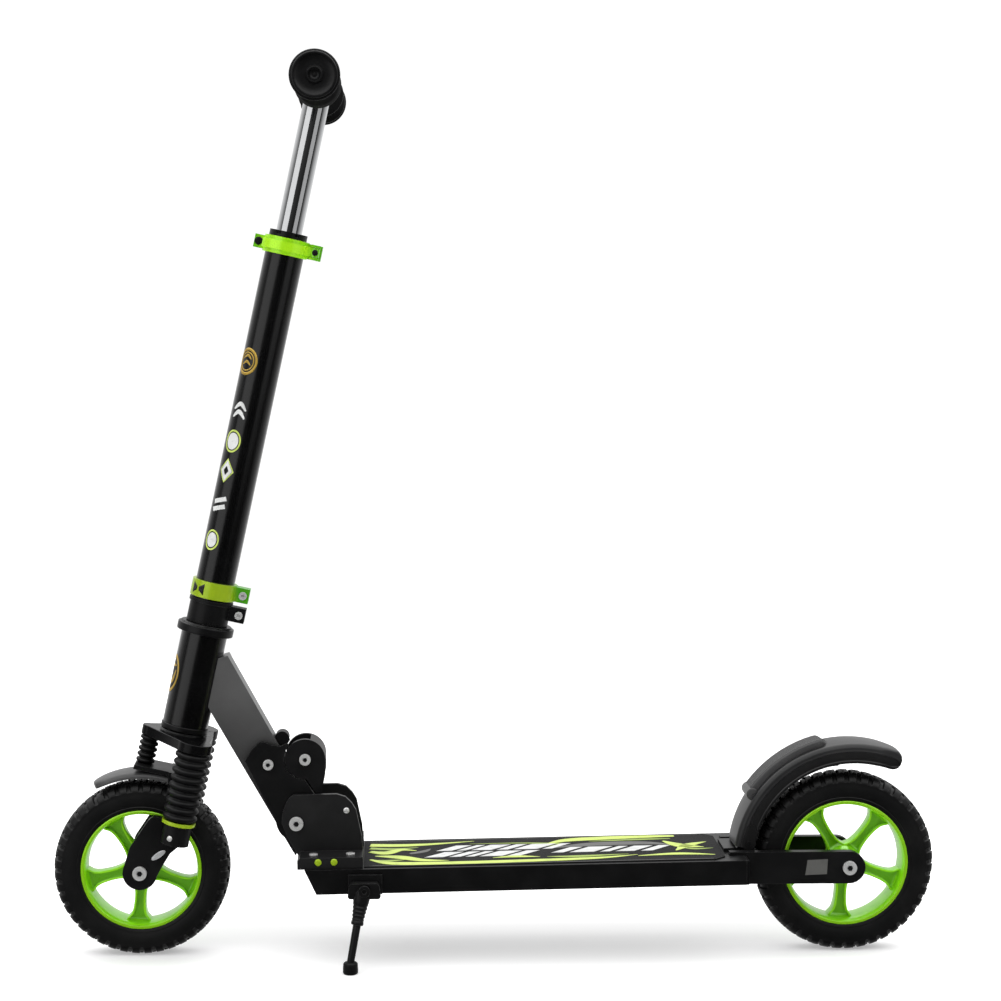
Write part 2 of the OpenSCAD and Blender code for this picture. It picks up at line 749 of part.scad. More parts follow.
module brake_bracket() color([0.05, 0.05, 0.05]) difference() {
    union() {
        deck_frame() translate([slot_x - 4, -25, deck_h / 2]) cube([19, 50, 4]);
        side_plate(-25, 25) hull() {
            translate(brake_pin) circle(r = 6.5);
            translate([274, 120]) square([5, 2.5]);
        }
    }
    translate([brake_pin[0], 0, brake_pin[1]]) bar_y(3, -50, 50);
    translate([brake_pin[0], 0, brake_pin[1]]) bar_y(12, -8, 8);
}

module brake_pivot_pin() color("silver") translate([brake_pin[0], 0, brake_pin[1]])
    bar_y(3, -guard_half_w - 1, guard_half_w + 1);

module brake_spring() color("silver") translate([brake_pin[0], -7, brake_pin[1]]) rotate([-90, 0, 0])
    coil(5, 0.9, 6, 14);

// ---------- side stand ----------

module stand_bracket() color([0.06, 0.06, 0.06]) difference() {
    translate([-170, stand_plate_y, 84]) cube([38, -deck_w / 2 - stand_plate_y, 22]);
    translate([stand_pivot[0], 0, stand_pivot[1]]) bar_y(4.05, -90, -60);
}

module stand_bolt() color("silver") translate([stand_pivot[0], 0, stand_pivot[1]]) {
    bar_y(4, -89, -deck_w / 2);
    button_head(6.5, -88);
}

module stand_leg() color([0.06, 0.06, 0.06]) difference() {
    union() {
        translate([stand_pivot[0], 0, stand_pivot[1]]) bar_y(9, -87.5, stand_plate_y - 0.4);
        stand_rod(4, -0.02, 0.98);
        stand_rod(6.4, 0.1, 0.42);
    }
    translate([stand_pivot[0], 0, stand_pivot[1]]) bar_y(4.05, -90, -60);
    stand_socket();
}

function stand_point(t) = [
    stand_pivot[0] - 2 - 13 * t, -80 - (stand_y - 80) * t, stand_pivot[1] - 6 - 76 * t
];

// A round bar along the leg's line, between two fractions of its length.
// Its seam is turned to the side, away from the eye at the top.
module stand_rod(r, t0, t1) {
    low = stand_point(t1);
    run = stand_point(t0) - low;
    translate(low) rotate([0, acos(run[2] / norm(run)), atan2(run[1], run[0])])
        rotate([0, 0, 90]) cylinder(r = r, h = norm(run));
}

module stand_socket() translate([stand_point(1)[0], -stand_y, 0]) cylinder(r = 8.5, h = 15);

module stand_foot() color([0.04, 0.04, 0.04]) stand_socket();

deck_body();
deck_grip();
deck_end_caps();
hinge_base();
deck_screws();
fold_bolt();
rear_arm_left();
rear_arm_right();
rear_axle_set();
brake_bracket();
brake_pivot_pin();
brake_spring();
stand_bracket();
stand_bolt();
neck_beam();
neck_plates();
neck_screws();
neck_bumper();
head_tube();
headset_cups();
headset_bearings();
catch_bolt();
catch_spring();
catch_lever();
fork_crown();
fork_steerer();
fork_stanchions();
fork_springs();
fork_bellows();
strut_rod();
strut_bellows();
collar();
clamp_screws();
stem_tube();
stem_adapter();
stem_bush();
lower_clamp();
upper_clamp();
lever_pin();
clamp_lever();
slider_tube();
slider_glide();
handlebar();
grips();
bar_end_caps();
fork_lower_legs();
fork_rings();
front_fender();
front_axle_set();
front_rim();
front_tyre();
front_bearings();
rear_rim();
rear_tyre();
rear_bearings();
rear_guard();
brake_pad();
brake_shoe();
stand_leg();
stand_foot();
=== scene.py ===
# A kick scooter in a pale studio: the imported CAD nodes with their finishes, and detailed pieces
# for the wheels, the rubber, the guards and the printed decoration. Mesh pieces are drawn in
# millimetres in frames of their own, and solid() turns them into metres in the scooter's frame.
import json
import math

import bmesh
import bpy
from mathutils import Matrix, Vector


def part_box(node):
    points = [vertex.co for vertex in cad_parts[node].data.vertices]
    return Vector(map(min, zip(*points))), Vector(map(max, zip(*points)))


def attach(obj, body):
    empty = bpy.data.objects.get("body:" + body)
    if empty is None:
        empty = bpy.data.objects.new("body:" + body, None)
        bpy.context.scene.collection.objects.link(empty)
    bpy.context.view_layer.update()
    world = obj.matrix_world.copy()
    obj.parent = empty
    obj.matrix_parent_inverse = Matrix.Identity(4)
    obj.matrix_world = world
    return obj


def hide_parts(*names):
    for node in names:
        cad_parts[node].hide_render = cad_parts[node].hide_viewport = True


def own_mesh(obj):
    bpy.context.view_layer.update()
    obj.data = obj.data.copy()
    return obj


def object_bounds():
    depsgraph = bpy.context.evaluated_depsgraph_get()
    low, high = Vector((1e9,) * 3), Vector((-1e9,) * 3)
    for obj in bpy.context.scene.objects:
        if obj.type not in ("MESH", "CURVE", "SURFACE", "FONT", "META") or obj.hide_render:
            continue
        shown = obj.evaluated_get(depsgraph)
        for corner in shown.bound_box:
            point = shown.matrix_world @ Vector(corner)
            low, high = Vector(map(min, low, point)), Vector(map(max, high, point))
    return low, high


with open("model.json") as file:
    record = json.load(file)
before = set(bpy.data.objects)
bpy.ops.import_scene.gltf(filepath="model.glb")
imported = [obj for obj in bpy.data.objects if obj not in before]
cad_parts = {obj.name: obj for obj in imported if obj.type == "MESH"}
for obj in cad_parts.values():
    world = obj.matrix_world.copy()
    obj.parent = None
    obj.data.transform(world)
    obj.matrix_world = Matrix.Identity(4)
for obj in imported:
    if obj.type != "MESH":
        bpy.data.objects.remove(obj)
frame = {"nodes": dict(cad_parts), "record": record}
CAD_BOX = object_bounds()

MM = 0.001
RAKE = math.radians(12)
BEAM_TILT = math.radians(-30)
TAU = 2 * math.pi


def added(name, data):
    """A new object of the scene."""
    made = bpy.data.objects.new(name, data)
    bpy.context.scene.collection.objects.link(made)
    return made


def modify(obj, kind, **settings):
    mod = obj.modifiers.new(kind.lower(), kind)
    for key, value in settings.items():
        setattr(mod, key, value)


def turned(degrees, axis):
    return Matrix.Rotation(math.radians(degrees), 4, axis)


def shifted(x, y, z):
    return Matrix.Translation((x, y, z))


def middle(node):
    """Centre of a CAD node's box, in millimetres."""
    low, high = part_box(node)
    return (low + high) / 2 / MM


def left_side(node):
    """The y of a CAD node's left face, in millimetres."""
    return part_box(node)[0].y / MM


# ---- frames ----

front_axle = middle("front_tyre")
rear_axle = middle("rear_tyre")
FORK_OFFSET = 13.9
COS, SIN = math.cos(RAKE), math.sin(RAKE)
steer_origin = Vector((front_axle.x + FORK_OFFSET * COS, 0, front_axle.z - FORK_OFFSET * SIN))
STEER = Matrix((
    (COS, 0, SIN, steer_origin.x), (0, 1, 0, 0), (-SIN, 0, COS, steer_origin.z), (0, 0, 0, 1)
))
FRONT = Matrix.Translation(front_axle)
REAR = Matrix.Translation(rear_axle)
GUARD = Matrix.Translation(rear_axle + Vector((7, 0, 2)))
DECK = shifted(0, 0, 100.1) @ turned(-1, "Y")
TURN_Y = turned(-90, "X")  # local Z becomes the scooter's Y
BAR_S = (STEER.inverted() @ middle("handlebar")).z
BAR = STEER @ shifted(0, 0, BAR_S) @ TURN_Y


def steer_point(x, y, s):
    return STEER @ Vector((x, y, s)) * MM


# ---- camera ----

YAW, PITCH, ROLL = (math.radians(a) for a in (2.768, -4.836, 0.351))
ahead = Vector((math.sin(YAW) * math.cos(PITCH), math.cos(YAW) * math.cos(PITCH), math.sin(PITCH)))
level = Vector((math.cos(YAW), -math.sin(YAW), 0))
above = level.cross(ahead)
right = math.cos(ROLL) * level + math.sin(ROLL) * above
up = right.cross(ahead)
camera = added("camera", bpy.data.cameras.new("camera"))
camera.data.sensor_width = 36
camera.data.lens = 84.12
camera.matrix_world = shifted(-0.1266, -2.6533, 0.7457) @ Matrix(
    (right, up, -ahead)
).transposed().to_4x4()
camera.data.clip_start, camera.data.clip_end = 0.1, 100
bpy.context.scene.camera = camera


# ---- materials ----

def set_inputs(made, names, values):
    for name, value in zip(names, values):
        made.inputs[name].default_value = value


RANGE = ("From Min", "From Max", "To Min", "To Max")


class Look:
    """A node material: one Principled shader fed by noises in the object's own space."""

    def __init__(self, name, colour, rough, tilt=0.0, **sockets):
        self.mat = bpy.data.materials.new(name)
        self.mat.use_nodes = True
        self.tree = self.mat.node_tree
        self.shader = self.tree.nodes["Principled BSDF"]
        for socket, value in sockets.items():
            self.shader.inputs[socket.replace("_", " ")].default_value = value
        self.tilt = tilt
        self.place = self.node("ShaderNodeTexCoord").outputs["Object"]
        self.colour = self.fixed("ShaderNodeRGB", (*colour, 1))
        self.rough = self.fixed("ShaderNodeValue", rough)
        self.normal = None
        self.wire_in(self.shader.inputs["Base Color"], self.colour)
        self.wire_in(self.shader.inputs["Roughness"], self.rough)

    def node(self, kind, **settings):
        made = self.tree.nodes.new(kind)
        for key, value in settings.items():
            setattr(made, key, value)
        return made

    def fixed(self, kind, value):
        made = self.node(kind)
        made.outputs[0].default_value = value
        return made.outputs[0]

    def wire_in(self, socket, source):
        self.tree.links.new(source, socket)

    def math(self, what, a, b=0.0, clamp=False):
        made = self.node("ShaderNodeMath", operation=what, use_clamp=clamp)
        for socket, value in zip(made.inputs, (a, b)):
            if isinstance(value, (int, float)):
                socket.default_value = value
            else:
                self.wire_in(socket, value)
        return made.outputs[0]

    def ramp(self, fac, low, high, a=0.0, b=1.0):
        """fac from low..high to a..b, eased and clamped."""
        made = self.node("ShaderNodeMapRange", interpolation_type="SMOOTHSTEP")
        self.wire_in(made.inputs["Value"], fac)
        set_inputs(made, RANGE, (low, high, a, b))
        return made.outputs["Result"]

    def spaced(self, per_mm, stretch=(1, 1, 1), tilt=0.0):
        """The object's own space with per_mm units to a millimetre, tilted about Y."""
        mapping = self.node("ShaderNodeMapping")
        set_inputs(mapping, ("Rotation", "Scale"),
                   ((0, -tilt, 0), tuple(s * per_mm / MM for s in stretch)))
        self.wire_in(mapping.inputs["Vector"], self.place)
        return mapping.outputs["Vector"]

    def noise(self, per_mm, detail=3.0, rough=0.55, stretch=(1, 1, 1)):
        """A noise with features of 1 / per_mm millimetres, stretched along the tilted axes."""
        made = self.node("ShaderNodeTexNoise")
        set_inputs(made, ("Scale", "Detail", "Roughness"), (1, detail, rough))
        self.wire_in(made.inputs["Vector"], self.spaced(per_mm, stretch, self.tilt))
        return made.outputs["Fac"]

    def cells(self, per_mm):
        made = self.node("ShaderNodeTexVoronoi")
        made.inputs["Scale"].default_value = 1
        self.wire_in(made.inputs["Vector"], self.spaced(per_mm))
        return made.outputs["Distance"]

    def axis(self, letter):
        apart = self.node("ShaderNodeSeparateXYZ")
        self.wire_in(apart.inputs[0], self.place)
        return apart.outputs[letter]

    def tint(self, fac, colour, amount=1.0):
        """Lays a colour over the surface where fac is high."""
        made = self.node("ShaderNodeMix", data_type="RGBA")
        if amount != 1.0:
            fac = self.math("MULTIPLY", fac, amount)
        self.wire_in(made.inputs["Factor"], fac)
        self.wire_in(made.inputs["A"], self.colour)
        made.inputs["B"].default_value = (*colour, 1)
        self.colour = made.outputs["Result"]
        self.wire_in(self.shader.inputs["Base Color"], self.colour)
        return self

    def roughen(self, fac, amount):
        """Adds amount to the roughness where fac is high, and takes it away where it is low."""
        shift = self.math("MULTIPLY", self.math("SUBTRACT", fac, 0.5), 2 * amount)
        self.rough = self.math("ADD", self.rough, shift, clamp=True)
        self.wire_in(self.shader.inputs["Roughness"], self.rough)
        return self

    def bump(self, height, depth, strength=1.0):
        """Relief of the given depth in millimetres."""
        made = self.node("ShaderNodeBump")
        set_inputs(made, ("Distance", "Strength"), (depth * MM, strength))
        self.wire_in(made.inputs["Height"], height)
        if self.normal is not None:
            self.wire_in(made.inputs["Normal"], self.normal)
        self.normal = made.outputs["Normal"]
        self.wire_in(self.shader.inputs["Normal"], self.normal)
        return self

    def edges(self, radius=0.7):
        """1 along the outer edges of a shape, from a rounded normal against the flat one."""
        soft = self.node("ShaderNodeBevel", samples=4)
        soft.inputs["Radius"].default_value = radius * MM
        flat = self.node("ShaderNodeNewGeometry")
        dot = self.node("ShaderNodeVectorMath", operation="DOT_PRODUCT")
        self.wire_in(dot.inputs[0], soft.outputs["Normal"])
        self.wire_in(dot.inputs[1], flat.outputs["Normal"])
        return self.ramp(dot.outputs["Value"], 0.995, 0.9)


def painted(name, colour, light, rough, tilt=0.0, edge=0, grain=0.35, depth=0.02, **sockets):
    """Paint or powder coat over metal: orange peel, faint cloudiness, and lighter rubbed edges that
    are partly wear and partly a painted highlight along the edges.
    """
    look = Look(name, colour, rough, tilt, Specular_IOR_Level=0.2, **sockets)
    cloud = look.noise(0.03, 4)
    look.tint(look.ramp(cloud, 0.35, 0.75), light, 0.5)
    fine = look.noise(3.0, 2)
    look.tint(look.ramp(fine, 0.62, 0.8), light, 0.35)
    look.roughen(cloud, 0.08).roughen(fine, 0.05)
    scratch = look.ramp(look.noise(0.9, 2, stretch=(0.06, 1, 1)), 0.66, 0.74)
    look.roughen(scratch, 0.05)
    look.bump(look.noise(grain, 2), depth)
    look.bump(look.noise(grain * 6, 1), depth * 0.25)
    # Rubbed edges, lightened: partly wear, partly a painted highlight along the edges.
    if edge:
        worn = look.math("MULTIPLY", look.edges(), look.ramp(look.noise(0.5, 3), 0.3, 0.7))
        look.tint(worn, (edge,) * 3, 0.7)
    return look


def brushed(name, colour, dark, rough, tilt=0.0, along=(1, 1, 0.03), metallic=1.0):
    """Turned or drawn metal: fine lines along one direction, smudges and small pits."""
    look = Look(name, colour, rough, tilt, Metallic=metallic)
    lines = look.noise(4.0, 3, stretch=along)
    smudge = look.noise(0.06, 4)
    look.tint(look.ramp(lines, 0.4, 0.8), dark, 0.35)
    look.tint(look.ramp(smudge, 0.5, 0.85), dark, 0.4)
    look.roughen(lines, 0.07).roughen(smudge, 0.08)
    look.bump(lines, 0.004)
    pits = look.ramp(look.noise(1.2, 1), 0.7, 0.78)
    look.bump(pits, 0.01, 0.5)
    return look


def moulded(name, colour, light, rough, shine, grain=2.2, depth=0.03, dust=0.25):
    """Moulded plastic or rubber: a fine even grain, flow clouds and a little dust."""
    look = Look(name, colour, rough, Specular_IOR_Level=shine)
    grains = look.noise(grain, 2, 0.7)
    flow = look.noise(0.025, 5)
    look.tint(look.ramp(flow, 0.4, 0.8), light, 0.5)
    look.tint(look.ramp(grains, 0.6, 0.85), light, dust)
    look.roughen(flow, 0.07).roughen(grains, 0.06)
    look.bump(grains, depth)
    look.bump(look.noise(0.15, 2), 0.05, 0.4)
    return look


def anodised(name, colour, deep, rough, tilt=0.0, flake=0.4, **sockets):
    """Coloured metal under a clear skin: tiny flakes, deeper tone in clouds, fine lines."""
    look = Look(name, colour, rough, tilt, **sockets)
    cloud = look.noise(0.05, 3)
    look.tint(look.ramp(cloud, 0.45, 0.85), deep, 0.5)
    speck = look.cells(5.0)
    look.tint(look.ramp(speck, 0.35, 0.1), tuple(min(1, c * 1.5 + 0.03) for c in colour), flake)
    look.roughen(cloud, 0.05).roughen(look.noise(3.0, 2, stretch=(1, 1, 0.1)), 0.05)
    look.bump(look.noise(0.4, 2), 0.012)
    return look


def printed(name, colour, worn, rough, metallic):
    """Ink on a sheet: uneven cover, tiny gaps and rubbed spots."""
    look = Look(name, colour, rough, Metallic=metallic)
    look.tint(look.ramp(look.noise(0.08, 4), 0.45, 0.8), worn, 0.5)
    look.tint(look.ramp(look.noise(1.6, 3), 0.62, 0.74), worn, 0.6)
    look.roughen(look.noise(0.8, 3), 0.1)
    look.bump(look.noise(2.5, 2), 0.02)
    return look


LOOKS = {}


def finish(make, name, *values, **settings):
    LOOKS[name] = make(name, *values, **settings)


finish(painted, "deck_black", (0.004, 0.004, 0.0042), (0.008, 0.008, 0.0083), 0.4, edge=0.1)
finish(painted, "bracket_black", (0.005, 0.005, 0.0053), (0.010, 0.010, 0.0103), 0.42,
       edge=0.1, grain=0.6, depth=0.03)
finish(painted, "crown_black", (0.0018, 0.0018, 0.002), (0.005, 0.005, 0.0053), 0.3,
       edge=0.06, grain=0.3, depth=0.02)
# A lighter copy of bracket_black for the hinge base: painted light.
finish(painted, "base_black_painted_light", (0.011, 0.011, 0.0113), (0.018, 0.018, 0.0183), 0.4,
       edge=0.1, grain=0.6, depth=0.03)
finish(painted, "satin_grey", (0.14,) * 3, (0.17,) * 3, 0.36, tilt=BEAM_TILT, edge=0.12,
       grain=1.2, depth=0.012, Metallic=0.5)
finish(painted, "gloss_black", (0.0015, 0.0015, 0.0017), (0.003, 0.003, 0.0034), 0.3, tilt=RAKE,
       grain=0.12, depth=0.02, Coat_Weight=0.8, Coat_Roughness=0.22)
finish(anodised, "green_metal", (0.47, 0.96, 0.012), (0.3, 0.78, 0.006), 0.28, tilt=RAKE,
       Metallic=0.2, Coat_Weight=0.5, Coat_Roughness=0.08)
finish(anodised, "yellow_green_metal", (0.34, 0.5, 0.008), (0.2, 0.38, 0.004), 0.3, tilt=RAKE,
       Metallic=0.3, Coat_Weight=0.4, Coat_Roughness=0.1)
finish(anodised, "rim_green", (0.3, 0.76, 0.005), (0.16, 0.55, 0.002), 0.3, flake=0.3,
       Metallic=0.2, Coat_Weight=0.5, Coat_Roughness=0.06)
finish(anodised, "rim_lip", (0.3, 0.7, 0.012), (0.16, 0.5, 0.005), 0.22, flake=0.3,
       Metallic=0.4, Coat_Weight=0.6, Coat_Roughness=0.05)
finish(brushed, "chrome", (0.78, 0.79, 0.8), (0.5, 0.5, 0.52), 0.07, tilt=RAKE)
finish(brushed, "steel", (0.8, 0.8, 0.79), (0.5, 0.49, 0.48), 0.3, along=(1, 0.1, 1), metallic=0.6)
finish(brushed, "spring_steel", (0.5, 0.46, 0.38), (0.25, 0.2, 0.14), 0.3)
finish(brushed, "aluminium", (0.75, 0.76, 0.77), (0.5, 0.5, 0.52), 0.34, metallic=0.6)
finish(moulded, "black_plastic", (0.0035, 0.0035, 0.0038), (0.009, 0.009, 0.0093), 0.34, 0.28)
finish(moulded, "guard_plastic", (0.013, 0.013, 0.0135), (0.022,) * 3, 0.32, 0.35, grain=3.0,
       depth=0.02)
# A lighter copy of the guard plastic, worn by the foot pad and the front fender: painted light on
# them.
finish(moulded, "painted_light_plastic", (0.05, 0.05, 0.0505), (0.07,) * 3, 0.34, 0.35, grain=3.0,
       depth=0.02)
finish(moulded, "black_rubber", (0.003, 0.003, 0.0034), (0.008,) * 3, 0.46, 0.25, grain=2.6,
       depth=0.04)
finish(moulded, "tyre_rubber", (0.0036, 0.0036, 0.0038), (0.010, 0.0098, 0.0095), 0.46, 0.32,
       grain=2.0, depth=0.05, dust=0.35)

# The grip sheet has hard grit in its surface.
grit = Look("grip_sheet", (0.009, 0.009, 0.0095), 0.75, Specular_IOR_Level=0.15)
grains = grit.cells(1.6)
grit.tint(grit.ramp(grains, 0.3, 0.05), (0.045, 0.045, 0.045), 0.7)
grit.tint(grit.ramp(grit.noise(0.02, 4), 0.4, 0.8), (0.02, 0.02, 0.02), 0.5)
grit.roughen(grains, 0.15)
grit.bump(grit.ramp(grains, 0.5, 0.0), 0.12).bump(grit.noise(3.5, 2), 0.05)
LOOKS["grip_sheet"] = grit

# Sunk faces and guard sides are marked on the meshes for painted shade: deeper green in the wheels'
# channels and barrels, darker side walls on the guards.
for name, shade_colour, amount in (("rim_green", (0.07, 0.36, 0.002), 0.55),
                           ("guard_plastic", (0.007,) * 3, 0.8), ("painted_light_plastic", (0.008,) * 3, 0.8)):
    shade_weight = LOOKS[name].node("ShaderNodeAttribute", attribute_name="depth")
    LOOKS[name].tint(shade_weight.outputs["Fac"], shade_colour, amount)

# Painted shade on the neck beam: paler towards the head tube and darker down towards the hinge,
# standing in for how the light falls along it.
beam = LOOKS["satin_grey"]
beam.tint(beam.ramp(beam.axis("Z"), 0.31, 0.19), (0.042,) * 3, 0.9)

# Painted shade on the clamps: the lower clamp turns from yellow-green to a darker green at its ear,
# and the upper one deepens at both rounded ends.
CLAMP_LOW, CLAMP_HIGH = 329.5, 725.5
for name, s, low, high, shade_colour in (
        ("yellow_green_metal", CLAMP_LOW, 0.018, 0.03, (0.03, 0.4, 0.008)),
        ("green_metal", CLAMP_HIGH, 0.022, 0.034, (0.1, 0.5, 0.01))):
    metal, centre = LOOKS[name], steer_point(0, 0, s)
    out = metal.math("SUBTRACT", metal.axis("X"), centre.x)
    if s == CLAMP_HIGH:
        out = metal.math("ABSOLUTE", out)
    on_clamp = metal.ramp(metal.axis("Z"), centre.z - 0.1, centre.z - 0.05)
    metal.tint(metal.math("MULTIPLY", metal.ramp(out, low, high), on_clamp), shade_colour, 0.85)

PRINTS = {}
for name, ink, worn, rough, metallic in (
        ("lime", (0.58, 0.72, 0.13), (0.3, 0.4, 0.07), 0.45, 0),
        ("green", (0.3, 0.42, 0.05), (0.1, 0.16, 0.03), 0.45, 0),
        ("white", (0.72, 0.73, 0.72), (0.3, 0.3, 0.3), 0.45, 0),
        ("grey", (0.085, 0.085, 0.08), (0.035, 0.035, 0.034), 0.45, 0),
        ("gold", (0.55, 0.36, 0.06), (0.2, 0.12, 0.02), 0.35, 0.5),
        ("dark", (0.006, 0.006, 0.006), (0.02, 0.02, 0.02), 0.45, 0)):
    PRINTS[name] = printed("print_" + name, ink, worn, rough, metallic)


# ---- CAD nodes ----

def soften_group():
    """A modifier that shades smooth faces smooth and keeps edges over 30 degrees sharp."""
    group = bpy.data.node_groups.new("shade_by_angle", "GeometryNodeTree")
    for side in ("INPUT", "OUTPUT"):
        group.interface.new_socket("Geometry", in_out=side, socket_type="NodeSocketGeometry")
    new, wire_up = group.nodes.new, group.links.new
    start, end = new("NodeGroupInput"), new("NodeGroupOutput")
    plain = new("GeometryNodeRemoveAttribute")
    plain.inputs["Name"].default_value = "custom_normal"
    angle = new("GeometryNodeInputMeshEdgeAngle")
    sharp = new("FunctionNodeCompare")
    sharp.data_type, sharp.operation = "FLOAT", "GREATER_THAN"
    sharp.inputs["B"].default_value = math.radians(30)
    faces, edges = new("GeometryNodeSetShadeSmooth"), new("GeometryNodeSetShadeSmooth")
    faces.domain, edges.domain = "FACE", "EDGE"
    edges.inputs["Shade Smooth"].default_value = False
    wire_up(start.outputs[0], plain.inputs[0])
    wire_up(plain.outputs[0], faces.inputs["Geometry"])
    wire_up(faces.outputs[0], edges.inputs["Geometry"])
    wire_up(angle.outputs["Unsigned Angle"], sharp.inputs["A"])
    wire_up(sharp.outputs["Result"], edges.inputs["Selection"])
    wire_up(edges.outputs[0], end.inputs[0])
    return group


SHADE = soften_group()


def soften(obj, width):
    """Rounds the sharp edges of a CAD node by width millimetres."""
    modify(obj, "WELD", merge_threshold=1e-6)
    modify(obj, "DECIMATE", decimate_type="DISSOLVE", angle_limit=math.radians(0.4))
    modify(obj, "NODES", node_group=SHADE)
    if width:
        modify(obj, "BEVEL", width=width * MM, segments=2, limit_method="ANGLE",
               angle_limit=math.radians(32), harden_normals=True, use_clamp_overlap=True,
               miter_outer="MITER_ARC")


EDGE_WIDTHS = {
    2.0: "fork_crown", 1.5: "stand_foot", 1.0: "headset_cups",
    0.9: "catch_lever rear_arm_left rear_arm_right neck_beam fork_lower_legs",
    0.8: "neck_plates hinge_base stand_bracket neck_bumper",
    0.7: "deck_body collar lower_clamp upper_clamp clamp_lever",
    0.6: "deck_end_caps brake_bracket stand_leg", 0.5: "head_tube fork_rings stem_bush",
    0.4: "front_axle_set rear_axle_set fold_bolt catch_bolt neck_screws deck_screws stand_bolt"
         " stem_tube slider_tube",
    0.3: "clamp_screws",
}
EDGE_WIDTH = {node: width for width, names in EDGE_WIDTHS.items() for node in names.split()}
# The hinge base takes that lighter copy of its paint, as painted light.
OWN_LOOK = {"fork_crown": "crown_black", "hinge_base": "base_black_painted_light"}
for part in frame["record"]["subparts"]:
    node = frame["nodes"][part["node"]]
    skin = LOOKS[OWN_LOOK.get(part["node"], part["material_slot"])].mat
    if node.data.materials:
        for index in range(len(node.data.materials)):
            node.data.materials[index] = skin
    else:
        node.data.materials.append(skin)
    soften(node, EDGE_WIDTH.get(part["node"], 0))


# ---- mesh helpers ----

def solid(name, verts, faces, body, slot, look=None, place=Matrix(), smooth=35, nodes=(), thick=0,
          depth=None):
    """One piece from a mesh in millimetres, moved by place, riding on a body.

    It has its slot's own look, unless another is given."""
    mesh = bpy.data.meshes.new(name)
    mesh.from_pydata([tuple(place @ Vector(v) * MM) for v in verts], [], faces)
    clean = bmesh.new()
    clean.from_mesh(mesh)
    bmesh.ops.remove_doubles(clean, verts=clean.verts, dist=1e-7)
    bmesh.ops.recalc_face_normals(clean, faces=clean.faces)
    clean.to_mesh(mesh)
    clean.free()
    mesh.shade_smooth()
    mesh.set_sharp_from_angle(angle=math.radians(smooth))
    # depth weights each point for painted shade, kept in the mesh's "depth" attribute.
    if depth:
        back = place.inverted()
        mesh.attributes.new("depth", "FLOAT", "POINT").data.foreach_set(
            "value", [depth(back @ (v.co / MM)) for v in mesh.vertices])
    made = added(name, mesh)
    mesh.materials.append((look or LOOKS[slot]).mat)
    if thick:
        modify(made, "SOLIDIFY", thickness=thick * MM, offset=1.0)
    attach(made, body)
    if nodes:
        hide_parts(*nodes)
    return made


def join(*parts):
    """Several (verts, faces) as one."""
    verts, faces = [], []
    for part_verts, part_faces in parts:
        faces += [tuple(i + len(verts) for i in face) for face in part_faces]
        verts += [Vector(v) for v in part_verts]
    return verts, faces


def moved(part, place):
    verts, faces = part
    return [place @ Vector(v) for v in verts], faces


def loft(rings, ends=True, loop=False):
    """Skins a list of equal rings of points. ends closes the first and last with one face."""
    count = len(rings[0])
    verts = [Vector(v) for ring in rings for v in ring]
    faces = []
    for i in range(len(rings) if loop else len(rings) - 1):
        a, b = i * count, (i + 1) % len(rings) * count
        for j in range(count):
            k = (j + 1) % count
            faces.append((a + j, a + k, b + k, b + j))
    if ends and not loop:
        faces.append(tuple(range(count - 1, -1, -1)))
        faces.append(tuple(range((len(rings) - 1) * count, len(rings) * count)))
    return verts, faces


def revolve(profile, steps=96):
    """A closed profile of (radius, height) turned about the local Z."""
    return loft([[(r * c, r * s, z) for r, z in profile] for c, s in oval(1, 1, count=steps)],
                loop=True)


def sweep(stations, section):
    """A closed section of (radius, y) at each station, in degrees about Y from +X towards +Z."""
    rings = []
    for a in stations:
        c, s = math.cos(math.radians(a)), math.sin(math.radians(a))
        rings.append([(r * c, y, r * s) for r, y in section(a)])
    return loft(rings)


def spread(a, b, count):
    return [a + (b - a) * i / (count - 1) for i in range(count)]


def ease(t):
    t = min(1, max(0, t))
    return t * t * (3 - 2 * t)


def curve(points, t):
    """Smooth curve through values at even steps, t from 0 to 1."""
    n = len(points) - 1
    i = min(n - 1, int(t * n))
    f = t * n - i
    p0, p1, p2, p3 = (points[min(n, max(0, k))] for k in (i - 1, i, i + 1, i + 2))
    return 0.5 * (2 * p1 + (p2 - p0) * f + (2 * p0 - 5 * p1 + 4 * p2 - p3) * f * f
                  + (3 * p1 - p0 - 3 * p2 + p3) * f ** 3)


def arc(cx, cz, r, a0, a1, count):
    return [(cx + r * math.cos(math.radians(a)), cz + r * math.sin(math.radians(a)))
            for a in spread(a0, a1, count)]


def oval(a, b, cx=0.0, cy=0.0, count=40):
    return [(cx + a * math.cos(TAU * i / count), cy + b * math.sin(TAU * i / count))
            for i in range(count)]


def mirrored(half):
    """The same (a, b) points with b the other way, from last to first."""
    return [(a, -b) for a, b in reversed(half)]


# ---- tyres ----

